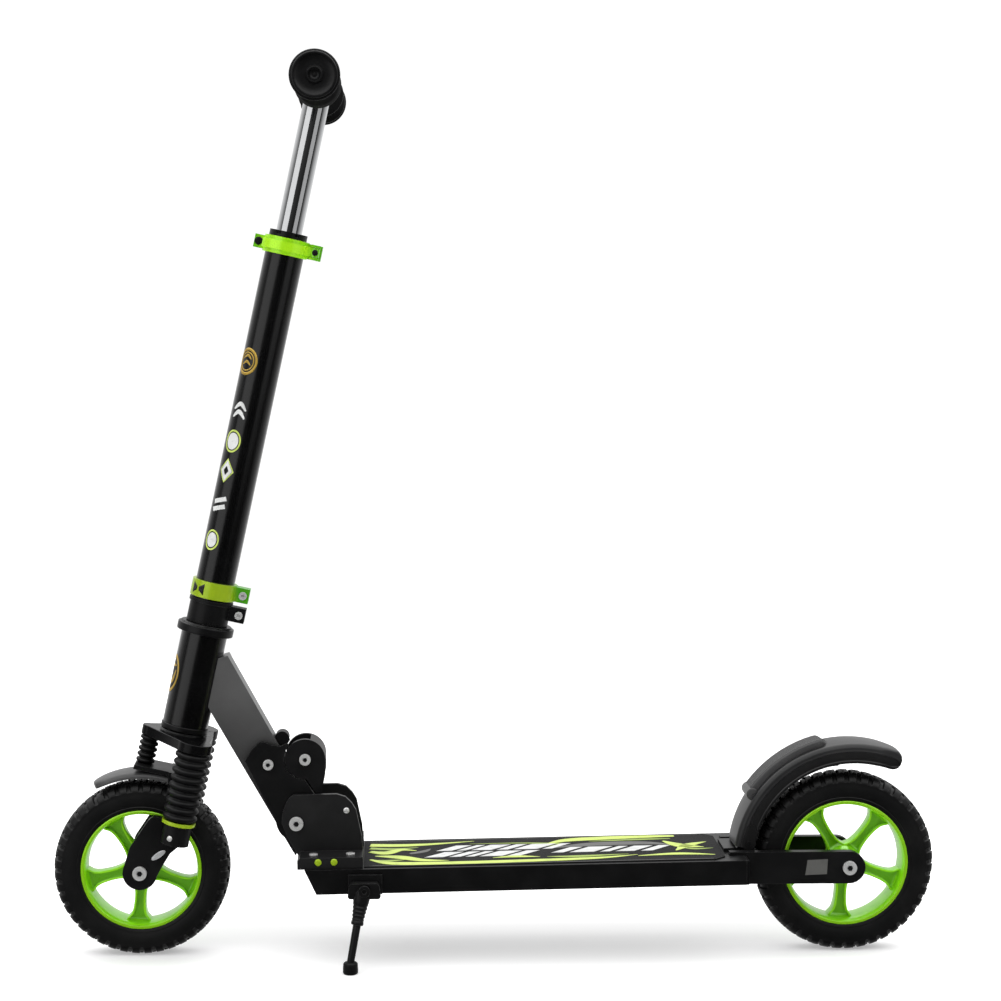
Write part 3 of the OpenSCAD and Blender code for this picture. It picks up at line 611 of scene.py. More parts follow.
def tyre(r, lugs=44, samples=12):
    """A knobbly tyre: shoulder bars and a zigzag crown cut from a round carcass."""
    # Across the tyre: depth below r, half width, how deep a groove goes, which row of blocks.
    half = [
        (34, 19, 0, None), (32, 19, 0, None), (31.6, 20.3, 0, None), (29.6, 21.4, 0, None),
        (27.6, 21.7, 0, None), (27, 21.2, 0, None), (24, 22.0, 0, None), (19, 22.5, 0, None),
        (14, 22.4, 0, None), (11, 22.0, 0, None), (10.3, 22.1, 0, "s"), (9.4, 22.0, 0.9, "s"),
        (7.5, 21.3, 1.5, "s"), (4.4, 19.4, 2.0, "s"), (2.0, 16.0, 2.2, "s"), (0.9, 12.2, 2.2, "s"),
        (0.7, 11.0, 2.2, "s"), (0.6, 10.2, 2.2, "g"), (0.5, 8.4, 2.2, "g"), (0.4, 7.6, 2.2, "c"),
        (0.2, 4.0, 2.2, "c"), (0.1, 0.0, 2.2, "c"),
    ]
    across = half + [(a, -b, *rest) for a, b, *rest in half[-2::-1]]
    rings = []
    for i in range(lugs * samples):
        ring = []
        phase = i % samples
        for below, y, depth, row in across:
            step = (phase + 6) % samples if y > 0 else phase
            cut = row is not None
            if row == "s":
                cut = step >= 8
            elif row == "g":
                cut = step not in (3, 4)
            elif row == "c":
                cut = phase in (0, 1) or phase in (6, 7) and abs(y) > 3
            slant = 0.9 * math.sin(abs(y) / 22 * math.pi / 2)
            angle = TAU * (i + slant * 3) / (lugs * samples)
            # Grooves go in square to the carcass, which is a rounded box.
            inward = Vector((min(1, max(0, (22.5 - abs(y)) / 8)), 0.6 * max(0, (abs(y) - 14) / 8)))
            inward = inward.normalized() if inward.length else inward
            rad = r - below - cut * depth * inward.x
            yy = y - math.copysign(cut * depth * inward.y, y)
            ring.append((rad * math.cos(angle), yy, rad * math.sin(angle)))
        rings.append(ring)
    inner = [(r - 34, -16), (r - 34.5, -8), (r - 34.5, 8), (r - 34, 16)]
    for i, ring in enumerate(rings):
        angle = TAU * i / (lugs * samples)
        ring += [(a * math.cos(angle), y, a * math.sin(angle)) for a, y in inner]
    return loft(rings, loop=True)


# ---- rims ----

def lip_side(r):
    """One bright lip: a thin rolled edge that leans into the barrel."""
    return arc(r - 32.9, 20.6, 1.4, 0, 90, 5) + arc(r - 34.4, 20.9, 1.1, 90, 180, 5)


def rim_barrel(r):
    """The barrel, a little narrower in the middle, and its seats for the tyre."""
    side = [(r - 34, 17), (r - 34, 19.2), (r - 32.5, 19.2), (r - 33.5, 20.6), (r - 35, 20.6),
            (r - 36.1, 18.5), (r - 37, 14), (r - 37.6, 8)]
    return moved(revolve(side + [(r - 37.8, 0)] + mirrored(side), 128), TURN_Y)


def rim_lips(r):
    side = [(r - 35.2, 18.8), (r - 31.5, 19.3)] + lip_side(r)
    return [moved(revolve([(a, b * end) for a, b in side], 128), TURN_Y) for end in (-1, 1)]


def rim_hub():
    """The hub with a stepped face, open for the bearing."""
    face = [(8.6, 0), (8.6, 13), (11.05, 13), (11.05, 20.6), (11.5, 21), (14.2, 21), (15, 20.2),
            (15.4, 16), (17.4, 12.5)]
    return moved(revolve(face + [(17.6, 0)] + mirrored(face)[:-1], 72), TURN_Y)


def rim_spoke(r):
    """A spoke with raised edges round a deep channel, flared where it meets hub and barrel."""
    start, end = 13, r - 37.3
    rings = []
    for k in range(33):
        t = k / 32
        rad = start + (end - start) * t
        wide = curve([12.5, 8.4, 6.8, 6.3, 6.5, 7.2, 9.2, 14], t)
        top = 9.0 - math.sin(math.pi * t) ** 2
        floor = top - 5.0 * ease((t - 0.02) / 0.12) * ease((1.04 - t) / 0.1)
        flat = max(0.3, wide - 2.9)
        row = [
            (-wide, top - 1.2), (-wide + 0.3, top - 0.4), (-wide + 0.9, top),
            (-flat - 1.0, top), (-flat - 0.5, top - 0.4), (-flat, floor + 0.4),
            (-flat * 0.7, floor), (0, floor - 0.1), (flat * 0.7, floor), (flat, floor + 0.4),
            (flat + 0.5, top - 0.4), (flat + 1.0, top), (wide - 0.9, top),
            (wide - 0.3, top - 0.4), (wide, top - 1.2),
        ]
        bend = ease((t - 0.6) / 0.4)
        rings.append([(rad - (rad - math.sqrt(max(1.0, rad * rad - x * x))) * bend, y, x)
                      for x, y in row + mirrored(row)])
    return loft(rings)


def rim_painted_shade(r):
    """How much painted shade a point of the casting gets: channels, and the barrel between the lips,
    where shade falls.
    """
    def depth(v):
        out, y = math.hypot(v.x, v.z), abs(v.y)
        if out > r - 38.5:
            return 0.45 * ease((19 - y) / 9)
        return ease((19.5 - y) / 5) if out < 17 else ease((7.4 - y) / 2.0)
    return depth


def wheel(name, hub, r, body, spoke_turn):
    solid(name + "_tyre_tread", *tyre(r), body, "tyre_rubber", place=hub, smooth=38,
          nodes=(name + "_tyre",))
    spokes = [
        moved(rim_spoke(r), turned(spoke_turn - 360 * i / 5, "Y")) for i in range(5)
    ]
    solid(name + "_rim_cast", *join(rim_barrel(r), rim_hub(), *spokes), body, "rim_green",
          place=hub, smooth=42, nodes=(name + "_rim",), depth=rim_painted_shade(r))
    solid(name + "_rim_lips", *join(*rim_lips(r)), body, "rim_green", LOOKS["rim_lip"], place=hub,
          smooth=50)


wheel("front", FRONT, front_axle.z, "front_wheel", 94)
wheel("rear", REAR, rear_axle.z, "rear_wheel", 93)


# ---- bellows and springs ----

def sleeve(inner, outer, depth, ribs, s0, s1):
    """A rubber bellows with rounded ribs and tight folds between them."""
    pitch = (s1 - s0) / ribs
    outline = []
    for i in range(ribs):
        for t, k in ((0.0, 0.0), (0.1, 0.12), (0.2, 0.55), (0.3, 0.86), (0.42, 0.98), (0.5, 1.0),
                     (0.58, 0.98), (0.7, 0.86), (0.8, 0.55), (0.9, 0.12)):
            outline.append((outer - depth + depth * k, s0 + pitch * (i + t)))
    outline.append((outer - depth, s1))
    return revolve([(inner, s1), (inner, (s0 + s1) / 2), (inner, s0)] + outline, 80)


def wire(radius, thick, turns, s0, s1):
    """A helical spring with flat-lying end turns."""
    count = int(turns * 40)
    rings = []
    for i in range(count + 1):
        t = i / count
        a = TAU * turns * t
        # The middle half of an ease, stretched to run from 0 to 1.
        eased = ease(t * 0.5 + 0.25) * 1.4545 - 0.2272
        z = s0 + thick + (s1 - s0 - 2 * thick) * (0.06 * t + 0.94 * eased)
        z = min(s1 - thick, max(s0 + thick, z))
        rings.append([(x * math.cos(a), x * math.sin(a), z + rise)
                      for x, rise in oval(thick, thick, radius, 0, 10)])
    return loft(rings)


RING_TOP, CROWN, BRIDGE = 71, 151, 118
LEG_X, LEG_Y, STRUT_X = 17.5, 47, -36
legs = [shifted(LEG_X, side * LEG_Y, 0) for side in (-1, 1)]


def sprung(name, part, slot, replaced, smooth=50):
    """A piece between a height low and the crown, riding on the stem, with a mesh of its own."""
    made = solid(name, *part, "stem", slot, place=STEER, smooth=smooth, nodes=(replaced,))
    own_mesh(made)


sprung("fork_boots", join(*(moved(sleeve(16, 19.6, 3.4, 9, RING_TOP, CROWN), leg) for leg in legs)),
       "black_rubber", "fork_bellows")
sprung("fork_coils", join(*(moved(wire(14.2, 1.4, 7, RING_TOP, CROWN), leg) for leg in legs)),
       "spring_steel", "fork_springs", smooth=60)
sprung("strut_boot",
       moved(sleeve(8, 10.8, 2.8, 5, BRIDGE, CROWN), shifted(STRUT_X, 0, 0)),
       "black_rubber", "strut_bellows")


# ---- grips ----

def grip():
    """A ribbed hand grip along +Z, from its inner flange to its outer one."""
    outline = [(11, 57), (24.4, 57)] + arc(24.4, 58.6, 1.6, -90, 60, 6) + [
        (24.4, 62), (22.6, 64.4), (19.4, 66.4), (17.6, 69.5)]
    for i in range(23):
        z = 71 + i * 3.7
        outline += [(16.4, z), (16.9, z + 0.5), (17.4, z + 0.9), (17.5, z + 1.6), (17.4, z + 2.3),
                    (16.9, z + 2.7), (16.4, z + 3.2)]
    outline += [(17.2, 157.4), (18.6, 159.4), (22.5, 161.2), (25.2, 162.4), (25.6, 163.6),
                (25.0, 164.8), (23.8, 165.6), (23.8, 166.4)]
    outline += arc(25.4, 169.6, 1.7, -70, 90, 8) + [(24.4, 171.4), (23.8, 171.0), (11, 171.0)]
    return revolve(outline, 120)


def end_disc():
    """A dished disc with a raised hub ring round a small hole, and a stub in the bar."""
    return revolve([
        (2.2, 159), (9, 159), (9, 171), (24.4, 171)] + arc(23.2, 173.2, 1.4, 0, 90, 5) + [
        (22.0, 174.5), (21.2, 173.6), (19, 172.6), (14, 171.9), (10.2, 172.0), (9.4, 172.8),
        (8.8, 174.4), (8.0, 175), (6.8, 174.9), (6.2, 174.0), (5.4, 172.6), (4.2, 171.6),
        (3.2, 171.2), (2.2, 170.6)], 96)


def at_bar_ends(name, part, look, slot, nodes=()):
    """A part of the far bar end and its mirror at the near end."""
    mirror = Matrix.Scale(-1, 4, (0, 0, 1))
    solid(name, *join(part, moved(part, mirror)), "t_bar", slot, LOOKS[look], place=BAR, smooth=40,
          nodes=nodes)


at_bar_ends("grip_pair", grip(), "black_rubber", "black_rubber", ("grips",))
at_bar_ends("grip_discs", end_disc(), "black_plastic", "black_plastic", ("bar_end_caps",))
at_bar_ends("grip_centres", revolve([(0.05, 165), (2.3, 165), (2.3, 171.4), (0.05, 171.6)], 24),
            "black_rubber", "black_plastic")


# ---- guards ----

def round_end(t):
    """Height of a quarter circle at t, from 0 at its tip to 1."""
    return math.sqrt(1 - (1 - min(1, max(0, t))) ** 2)


def guard_profile(inner, outer, half, skin, round_r):
    """A channel open towards the wheel, with round shoulders and a bead along each rim."""
    outside = [(inner, half - 0.4), (inner + 0.6, half + 0.9), (inner + 3.0, half + 0.9),
               (inner + 4.0, half)]
    # A step below the shoulder, or as many plain points where the tail is too thin for one.
    if round_r > 6:
        outside += [(outer - 9.4, half), (outer - 8.8, half + 0.8), (outer - 8.0, half + 0.8)]
    else:
        outside += [(inner + 4.1, half), (inner + 4.2, half), (inner + 4.3, half)]
    outside += arc(outer - round_r, half - round_r, round_r, 90, 0, 9)
    outside += [(outer + 0.5, half * 0.4), (outer + 0.7, 0)]
    inside = [(outer - skin + 0.2, 0), (outer - skin, half * 0.4)]
    inside += arc(outer - round_r, half - round_r, max(0.5, round_r - skin), 0, 90, 7)
    inside += [(inner, half - skin)]
    return outside + mirrored(outside)[1:] + mirrored(inside) + inside[1:]


def rear_guard_section(a):
    """The rear guard across at a degrees: it narrows and thins to a rounded tail at 64."""
    inner, outer, half = 115.5, 138.0, 29.0
    to_tail = math.radians(a - 64) * 127
    depth = (outer - inner) * (0.32 + 0.68 * round_end(to_tail / 11))
    centre = (outer + inner) / 2
    half *= 0.72 + 0.28 * ease(to_tail / 34)
    inner, outer = centre - depth / 2, centre + depth / 2
    return guard_profile(inner, outer, half, min(3.0, depth * 0.4), min(7.0, depth * 0.45))


guard_skin = moved(sweep(spread(64, 69, 9) + spread(70.5, 171.8, 60), rear_guard_section), GUARD)


def plate(outline, y0, y1):
    """A flat plate from an outline of (x, z), between two values of y."""
    return loft([[(x, y0, z) for x, z in outline], [(x, y1, z) for x, z in outline]])


def hull(circles):
    """The outline round several (x, z, r) circles."""
    points = sorted(point for x, z, r in circles for point in oval(r, r, x, z, 24))

    def chain(pts):
        out = []
        for p in pts:
            while len(out) > 1 and (
                (out[-1][0] - out[-2][0]) * (p[1] - out[-2][1])
                - (out[-1][1] - out[-2][1]) * (p[0] - out[-2][0])
            ) <= 0:
                out.pop()
            out.append(p)
        return out[:-1]
    return chain(points) + chain(points[::-1])


pin = middle("brake_pivot_pin")
ear = hull([(pin.x, pin.z, 8), (290, 145, 6)])
ears = [plate(ear, side * 26.2, side * 30) for side in (-1, 1)]


def guard_side_painted_shade(centre, outer, half):
    """Painted shade weight: 1 on the side walls of a guard about a centre, below its shoulder, which
    are darkened as if in shade.
    """
    def depth(v):
        out = math.hypot(v.x - centre.x, v.z - centre.z)
        return ease((abs(v.y) - half) / 1.5) * ease((outer - out) / 2)
    return depth


solid("rear_guard_shell", *join(guard_skin, *ears), "rear_brake", "guard_plastic",
      smooth=40, nodes=("rear_guard",), depth=guard_side_painted_shade(GUARD.translation, 129.4, 18))


def pad_section(a):
    """The foot pad across at a degrees, with seven grooves: it rises from a rounded tip at 102."""
    end = math.radians(min(a - 102, 146 - a)) * 142
    half = 18 * (0.35 + 0.65 * round_end(end / 16)) if a < 124 else 18
    top = 138 + 8 * (0.25 + 0.75 * ease(end / 9)) if a < 124 else 146
    row = [(136.5, half), (top - 2.5, half), (top - 1.0, half - 0.6), (top - 0.3, half - 1.6)]
    ridge = []
    for i in range(7):
        y = half * (0.78 - i * 0.26)
        ridge += [(top, y + 1.5), (top, y + 0.5), (top - 1.3, y - 0.2), (top - 1.3, y - 1.2),
                  (top, y - 1.9)]
    ridge = [(r, max(-half + 1.8, min(half - 1.8, y))) for r, y in ridge]
    return row + ridge + mirrored(row)


pad_skin = sweep(spread(102, 112, 14) + spread(113.5, 146, 24), pad_section)
boss = revolve([(0.6, -20), (6, -20), (7, -19), (7.2, -10), (7.2, 10), (7, 19), (6, 20),
                (0.6, 20)], 40)
boss_place = turned(-146, "Y") @ shifted(140, 0, 0) @ TURN_Y
# The foot pad wears the lighter copy of the guard plastic: painted light.
solid("foot_pad", *moved(join(pad_skin, moved(boss, boss_place)), GUARD),
      "rear_brake", "black_plastic", LOOKS["painted_light_plastic"], smooth=40, nodes=("brake_pad",))


def fender_section(a):
    """The front fender across at a degrees, rounded at both ends."""
    end, back = math.radians(119 - a) * 112, math.radians(a - 60) * 112
    half = 22.9 * (0.55 + 0.45 * round_end(end / 22)) * (0.8 + 0.2 * round_end(back / 8))
    outside = [(105.8, half - 0.3), (105.6, half + 0.6), (107.2, half + 0.9), (108.6, half + 0.4),
               (110.4, half - 0.9), (111.9, half - 3.4), (112.6, half - 7), (113, 0)]
    inside = [(110.4, 0), (110.2, half - 7.4), (109.4, half - 3.4), (107.4, half - 2.0),
              (106.2, half - 2.2)]
    return outside + mirrored(outside)[1:] + mirrored(inside) + inside[1:]


fender_skin = sweep(spread(60, 63, 4) + spread(65, 106, 22) + spread(107, 119, 14), fender_section)
# The fender also wears the lighter copy of the guard plastic: painted light.
solid("front_fender_shell", *moved(fender_skin, FRONT), "lower_fork", "guard_plastic",
      LOOKS["painted_light_plastic"], smooth=40, nodes=("front_fender",), depth=guard_side_painted_shade(Vector(), 109, 18))


# ---- printed decoration ----

def stroke(points, widths, count=40, rows=5):
    """A tapering ribbon through (x, y) points, as a grid in the plane."""
    centre = [Vector((curve([p[0] for p in points], t), curve([p[1] for p in points], t)))
              for t in spread(0, 1, count)]
    verts, faces = [], []
    for i, c in enumerate(centre):
        ahead = centre[min(count - 1, i + 1)] - centre[max(0, i - 1)]
        across = Vector((-ahead.y, ahead.x)).normalized()
        w = curve(widths, i / (count - 1))
        for k in range(rows):
            p = c + across * w * (k / (rows - 1) - 0.5)
            verts.append((p.x, p.y, 0))
    for i in range(count - 1):
        for k in range(rows - 1):
            a = i * rows + k
            faces.append((a, a + 1, a + rows + 1, a + rows))
    return verts, faces


def blot(outline, core=0.0, rings=5):
    """A flat shape filled from its centre out; core leaves a hole of that share."""
    cx = sum(p[0] for p in outline) / len(outline)
    cy = sum(p[1] for p in outline) / len(outline)
    rows = [[(cx + (x - cx) * f, cy + (y - cy) * f, 0) for x, y in outline]
            for f in spread(max(core, 0.02), 1, rings)]
    return loft(rows, ends=False)


def rounded(outline, per_side=8):
    """Points along the sides of a polygon, so that it can follow a curved surface."""
    out = []
    for i, p in enumerate(outline):
        q = outline[(i + 1) % len(outline)]
        out += [(p[0] + (q[0] - p[0]) * k / per_side, p[1] + (q[1] - p[1]) * k / per_side)
                for k in range(per_side)]
    return out


def wrapped(part, radius, s, turn):
    """A flat shape laid round the local Z at a height s: its x runs round, its y runs up."""
    verts, faces = part
    out = []
    for x, y, z in verts:
        a = math.radians(turn) + x / radius
        out.append(((radius + z) * math.cos(a), (radius + z) * math.sin(a), s + y))
    return out, faces


INK = 0.15


def decal(name, part, ink, body, slot, place, thick=INK):
    """Ink that stands a hair above its surface; thicker ink covers thinner."""
    solid(name, *part, body, slot, PRINTS[ink], place=place, smooth=60, thick=thick)


# Deck: swooshes along the sheet, and slanted bars where the real one carries words.
SHEET = DECK @ shifted(0, 0, 15.25)


def bars(x0, y0, lengths, gap, height, lean):
    """A row of plain slanted blocks of different lengths."""
    out, x = [], x0
    for length in lengths:
        out.append(blot(rounded([(x, y0), (x + length, y0), (x + length + lean, y0 + height),
                                 (x + lean, y0 + height)], 4), 0, 3))
        x += length + gap
    return out


decal("sheet_white", join(
    *bars(-70, 4, (18, 10, 24, 13, 28, 11), 6, 25, 24),
    *bars(-84, -26, (22, 13, 10, 26, 15), 6, 24, 24),
    *bars(62, -16, (14, 28, 11, 22, 14), 7, 25, 24),
), "white", "deck", "grip_sheet", SHEET)
# Thickness of the ink, then each stroke: its points, its widths and, if it is short, its steps.
SWOOSHES = {
    "lime": (0.13, (
        ([(-146, -30), (-120, -50), (-60, -54), (20, -52), (110, -46), (160, -34)],
         [3, 13, 13, 12, 9, 1]),
        ([(58, 26), (84, 44), (130, 51), (180, 54), (212, 54)], [1, 14, 16, 12, 7]),
        ([(-146, 40), (-110, 36), (-70, 40), (-24, 50)], [14, 13, 8, 1]),
        ([(-140, -14), (-112, -22), (-86, -38), (-56, -42)], [3, 15, 11, 1]),
        ([(196, 30), (214, 6), (240, -4)], [3, 16, 1], 24),
        ([(206, -18), (222, 6), (246, 22)], [2, 14, 1], 24),
        ([(-146, 8), (-128, 0), (-110, 14), (-92, 8)], [8, 15, 9, 1], 24),
        ([(160, -40), (206, -34), (248, -42)], [2, 10, 2], 24),
        ([(-6, -34), (20, -30), (48, -34)], [1, 9, 1], 24))),
    "green": (0.11, (
        ([(56, -34), (90, -36), (150, -30)], [1, 9, 1]),
        ([(-30, 36), (30, 35), (76, 26), (60, 16)], [1, 4, 6, 1]),
        ([(-146, 24), (-120, 18), (-90, 24)], [10, 9, 1], 24),
        ([(110, 36), (160, 40), (206, 41)], [1, 7, 3], 24),
        ([(-146, -34), (-128, -38), (-104, -34)], [2, 9, 1], 24),
        ([(212, -2), (228, -12), (250, -10)], [1, 6, 1], 24))),
    "grey": (0.09, (
        ([(60, 6), (110, 20), (170, 22), (206, 10)], [1, 18, 16, 1]),
        ([(-146, 56), (-40, 58), (120, 60), (240, 58)], [1.2, 1.2, 1.2, 1.2]),
        ([(-146, -60), (-20, -60.5), (120, -60.5), (244, -60)], [1.4, 1.4, 1.4, 1.4]),
        ([(-100, -6), (-84, 4), (-76, 16)], [6, 9, 1], 24))),
}
for ink, (thick, strokes) in SWOOSHES.items():
    ribbons = join(*(stroke(*values) for values in strokes))
    decal("sheet_" + ink, ribbons, ink, "deck", "grip_sheet", SHEET, thick)

# Stem: a ring badge above five small marks, each at its height and turn round the tube.
STEM_R, HEAD_R = 22.02, 26.02
BADGE, CHEVRONS, DISC, DIAMOND, BARS, DOT = (
    (591, -135), (534, -124), (500, -126), (466, -127), (428, -127), (386, -127))


def stem_marks(name, ink, *marks):
    decal(name, join(*(wrapped(part, STEM_R, *where) for part, where in marks)), ink, "stem",
          "gloss_black", STEER)


def diamond(half):
    return rounded([(-half, 0), (0, half + 4), (half, 0), (0, -half - 4)], 6)


stem_marks(
    "stem_badge", "gold", (blot(oval(14, 15.5), 0.8, 3), BADGE), (blot(oval(10, 11), 0.86, 3), BADGE),
    *((stroke([(-6, y), (0, y + 4), (6, y)], [1, 3, 1], 16), BADGE) for y in (3, -4)))
stem_marks(
    "stem_marks", "white",
    *((stroke([(-8, y), (0, y + 7), (8, y)], [2, 5, 2], 16), CHEVRONS) for y in (-7, 2)),
    (blot(oval(7.6, 9.6)), DISC), (blot(diamond(8), 0.45, 4), DIAMOND),
    *((stroke([(-8, y), (8, y + 6)], [5, 5], 16), BARS) for y in (-8, 1)),
    (blot(oval(6.6, 8.4)), DOT))
stem_marks(
    "stem_mark_edges", "lime", (blot(oval(10.4, 13), 0.84, 2), DISC),
    (blot(diamond(10), 0.86, 2), DIAMOND), (blot(oval(9.4, 11.8), 0.83, 2), DOT))

# Head tube: an oval badge at the front, turned a little to the left.
HEAD_BADGE = (227, -168)
decal("head_badge", join(*(wrapped(part, HEAD_R, *HEAD_BADGE) for part in (
    blot(oval(15, 22), 0.82, 3), stroke([(-9, -6), (-4, 8), (8, 10)], [1, 5, 1], 20),
    stroke([(9, 5), (4, -8), (-8, -10)], [1, 5, 1], 20)))), "gold", "neck", "gloss_black", STEER)
decal("head_badge_field", wrapped(blot(oval(12.6, 18.4), 0, 6), HEAD_R - 0.1, *HEAD_BADGE), "dark",
      "neck", "gloss_black", STEER)


# ---- small hardware ----

def dome(r, h, lip=0.4):
    """A low domed head on the local Z, with a rolled edge."""
    return revolve([(0.05, 0), (r, 0), (r, lip)] + [
        (r * math.cos(a), lip + (h - lip) * math.sin(a)) for a in spread(0.1, math.pi / 2 - 0.02, 9)
    ], 40)


def facing_left(part, x, y, z):
    """A part set at a point, with its local Z along the scooter's -Y."""
    return moved(part, shifted(x, y, z) @ turned(90, "X"))


# A black hexagon in the left head of each large bolt: painted shade for the shadow inside its hex
# socket.
for node, body, r in (("front_axle_set", "lower_fork", 3.0), ("rear_axle_set", "deck", 3.0),
                      ("fold_bolt", "deck", 3.0), ("catch_bolt", "neck", 2.4),
                      ("neck_screws", "neck", 2.2)):
    spot = middle(node)
    socket = revolve([(0.05, 0), (r, 0), (r, 0.5), (r - 0.4, 0.7), (0.05, 0.3)], 6)
    solid(node + "_socket", *facing_left(socket, spot.x, left_side(node) + 0.3, spot.z), body,
          "bracket_black", smooth=20)

solid("base_rivets", *join(*(
    facing_left(dome(3.9, 1.8), x, left_side("hinge_base") + 0.05, 118.6 + (x + 195) * 0.017)
    for x in (-204, -186))), "deck", "yellow_green_metal")
solid("plate_rivet", *facing_left(dome(3.4, 1.6), -172.8, -31.95, 170.2), "deck", "steel")
arm_face = left_side("rear_arm_left")
solid("arm_patch", *plate(rounded([(351, 95.5), (376, 96.5), (377, 114), (353.5, 113)], 3),
                          arm_face - 0.12, arm_face + 0.3),
      "deck", "bracket_black", PRINTS["grey"])

# Fork ends: a slanted oval inlay in each plate and a small screw in each cup.
for side, label in ((-1, "left"), (1, "right")):
    out = turned(-90 * side, "X")
    solid("fork_end_inlay_" + label, *moved(
        revolve([(0.05, 0), (2.9, 0), (3.1, 0.3), (2.8, 0.6), (0.05, 0.5)], 32),
        shifted(2.5, side * 35.9, 24.5) @ turned(-46, "Y") @ out
        @ Matrix.Diagonal((3.0, 1, 1, 1))), "lower_fork", "aluminium", place=STEER)
    solid("fork_end_screw_" + label, *moved(
        dome(3.2, 1.6), shifted(LEG_X, side * LEG_Y, 52)
        @ turned(side * 20, "Z") @ out @ shifted(0, 0, 15.9)),
        "lower_fork", "steel", place=STEER)

# Small marks on the clamps: dark folded inlays below, and a dark eye at each end above.
CLAMP_R = 25.65
decal("lower_clamp_marks", join(*(
    wrapped(blot(rounded([(-3.5 * k, -6.5), (3.5 * k, -2), (3.5 * k, 2), (-3.5 * k, 6.5)], 3), 0, 3),
            CLAMP_R, CLAMP_LOW, turn) for k, turn in ((1, -142), (-1, -120)))),
    "dark", "stem", "yellow_green_metal", STEER)
solid("upper_clamp_eyes", *join(*(
    facing_left(dome(r, 1.2), x, y, CLAMP_HIGH) for x, y, r in ((-31, -5.9, 4.6), (34, -23.4, 3.4))
)), "stem", "green_metal", LOOKS["bracket_black"], place=STEER)

# Side stand: a forked head, a ribbed sleeve that tapers to the leg, and a rounded rubber foot.
stand_top = middle("stand_bolt")
foot_low, foot_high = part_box("stand_foot")
foot_place = (foot_low + foot_high) / 2 / MM
leg_top = Vector((stand_top.x - 2, -81, stand_top.z - 4))
leg_end = Vector((foot_place.x, foot_place.y, foot_high.z / MM - 2))
LEG = Matrix.Translation(leg_top) @ (leg_end - leg_top).to_track_quat("Z", "Y").to_matrix().to_4x4()
run = (leg_end - leg_top).length
sleeve_outline = [(0.05, -2), (9.0, -2), (9.6, 0), (9.5, 4), (8.9, 10)]
for k in range(4):
    sleeve_outline += [(8.5 - 0.5 * k, 13 + 4.4 * k), (7.9 - 0.5 * k, 14 + 4.4 * k),
                       (7.9 - 0.5 * k, 15.2 + 4.4 * k), (8.4 - 0.5 * k, 16.2 + 4.4 * k)]
sleeve_outline += [(6.4, 31), (7.0, 32), (7.0, 34.5), (6.2, 35.6), (4.4, 36), (4.2, run), (0.05, run)]
head = hull([(-13, 4, 4), (13, 4, 4), (-15, -6, 3.4), (15, -6, 3.4)])
head = [(stand_top.x + x, stand_top.z + z) for x, z in head]
solid("stand_leg_sleeved", *join(
    moved(revolve(sleeve_outline, 40), LEG), plate(head, -87.4, -76)), "stand", "bracket_black",
    smooth=40, nodes=("stand_leg",))
solid("stand_foot_rubber", *moved(revolve(
    [(0.05, 0)] + arc(6.3, 2.2, 2.2, -90, 0, 5) + [(8.5, 6), (8.3, 9)] + arc(5.2, 10.8, 3, 10, 90, 6)
    + [(0.05, 14)], 40), shifted(foot_place.x, foot_place.y, foot_low.z / MM)),
    "stand", "black_rubber", smooth=50, nodes=("stand_foot",))


# ---- floor, lights, background ----

FLOOR_R = 2300
paper = Look("studio_floor", (0.94, 0.94, 0.94), 0.85, Specular_IOR_Level=0.1,
             Emission_Color=(1, 1, 1, 1), Emission_Strength=0.36)
paper.tint(paper.ramp(paper.noise(0.002, 3), 0.4, 0.8), (0.9, 0.9, 0.9), 0.4)
paper.roughen(paper.noise(0.01, 2), 0.05)
# A soft shade under the deck, and a small one at the front wheel.
aside = paper.math("ABSOLUTE", paper.axis("X"))
behind = paper.math("ABSOLUTE", paper.math("SUBTRACT", paper.axis("Y"), 0.075))
shade = paper.math("MULTIPLY", paper.ramp(aside, 0.36, 0.54, 1.0, 0.0),
                   paper.ramp(behind, 0.02, 0.15, 1.0, 0.0))
paper.tint(shade, (0.56, 0.56, 0.56))
spot = paper.node("ShaderNodeVectorMath", operation="DISTANCE")
paper.wire_in(spot.inputs[0], paper.place)
spot.inputs[1].default_value = (-0.4, -0.02, 0)
paper.tint(paper.ramp(spot.outputs["Value"], 0.02, 0.1, 0.5, 0.0), (0.45, 0.45, 0.45))
floor_mesh = bpy.data.meshes.new("floor")
floor_verts, floor_faces = loft([[(x, y, 0) for x, y in oval(r, r, count=96)]
                                 for r in spread(FLOOR_R, 0.001, 11)], ends=False)
floor_mesh.from_pydata([v * MM for v in floor_verts], [], floor_faces)
floor = added("floor", floor_mesh)
floor_mesh.materials.append(paper.mat)
floor.location.z = CAD_BOX[0].z
floor.visible_glossy = False


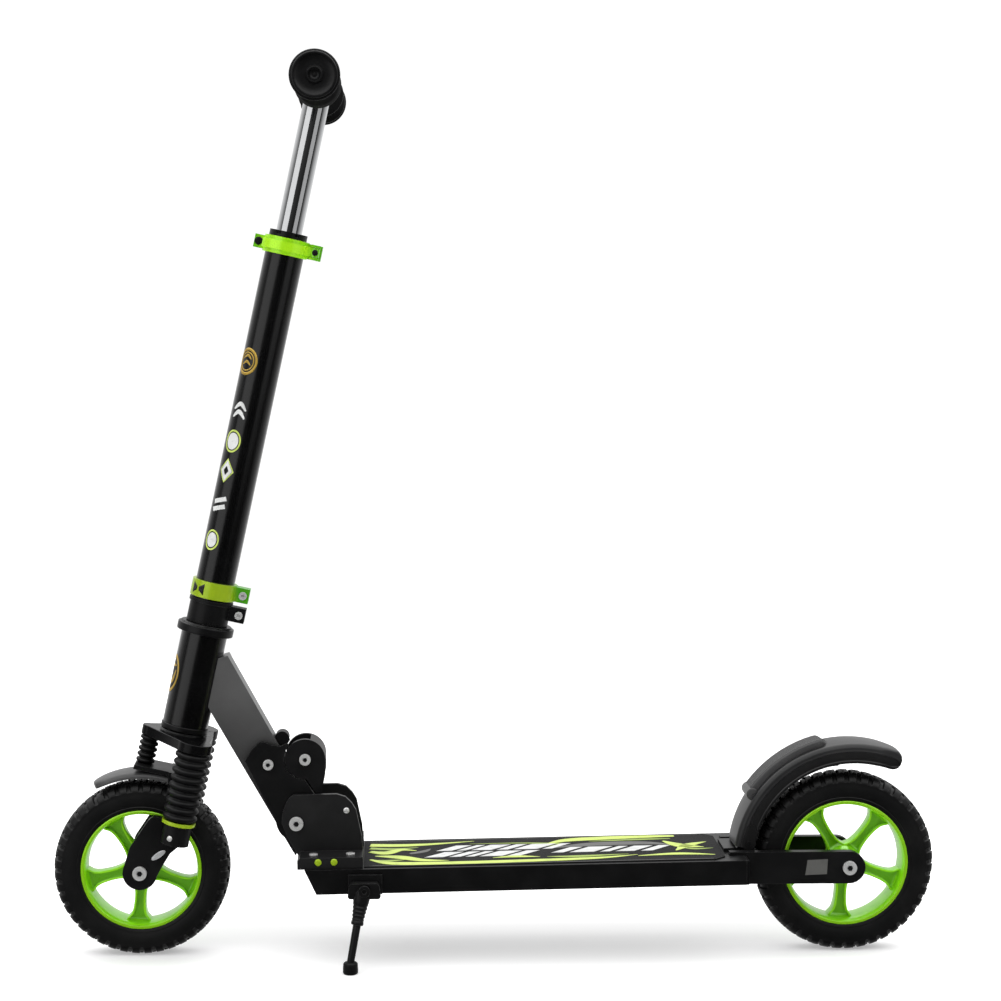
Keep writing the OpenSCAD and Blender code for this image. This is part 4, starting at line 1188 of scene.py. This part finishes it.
def soft_box(name, place, aim, width, height, watts):
    """A rectangular light at place, facing aim."""
    data = bpy.data.lights.new(name, "AREA")
    data.shape, data.size, data.size_y = "RECTANGLE", width, height
    data.energy = watts
    made = added(name, data)
    made.location = place
    made.rotation_euler = (Vector(aim) - Vector(place)).to_track_quat("-Z", "Y").to_euler()
    return made


overhead = soft_box("overhead", (0, 0, 3.0), (0, 0, 0), 8.0, 8.0, 310)
overhead.visible_camera = False
soft_box("left_panel", (-2.5, -2.2, 1.0), (-0.3, 0, 0.5), 3.0, 2.4, 19)
soft_box("right_panel", (2.1, -2.0, 1.0), (-0.3, 0, 0.5), 2.0, 2.2, 5.9)

world = bpy.data.worlds.new("studio")
bpy.context.scene.world = world
world.use_nodes = True
nodes, wire_up = world.node_tree.nodes, world.node_tree.links.new
unseen, seen = nodes["Background"], nodes.new("ShaderNodeBackground")
for shown in (unseen, seen):
    shown.inputs["Color"].default_value = (1, 1, 1, 1)
seen.inputs["Strength"].default_value = 1.05
split = nodes.new("ShaderNodeSeparateXYZ")
wire_up(nodes.new("ShaderNodeTexCoord").outputs["Generated"], split.inputs[0])


def sky(axis, low, high, weak, strong):
    made = nodes.new("ShaderNodeMapRange")
    set_inputs(made, RANGE, (low, high, weak, strong))
    wire_up(split.outputs[axis], made.inputs["Value"])
    return made.outputs["Result"]


# Unseen rays meet a dark room in front, a paler one above and a white wall behind.
total, mix = nodes.new("ShaderNodeMath"), nodes.new("ShaderNodeMixShader")
wire_up(sky("Z", -0.1, 0.9, 0.01, 0.16), total.inputs[0])
wire_up(sky("Y", -0.3, 0.8, 0.0, 0.75), total.inputs[1])
wire_up(total.outputs[0], unseen.inputs["Strength"])
wire_up(nodes.new("ShaderNodeLightPath").outputs["Is Camera Ray"], mix.inputs["Fac"])
wire_up(unseen.outputs[0], mix.inputs[1])
wire_up(seen.outputs[0], mix.inputs[2])
wire_up(mix.outputs[0], nodes["World Output"].inputs["Surface"])
bpy.context.scene.view_settings.view_transform = "Standard"
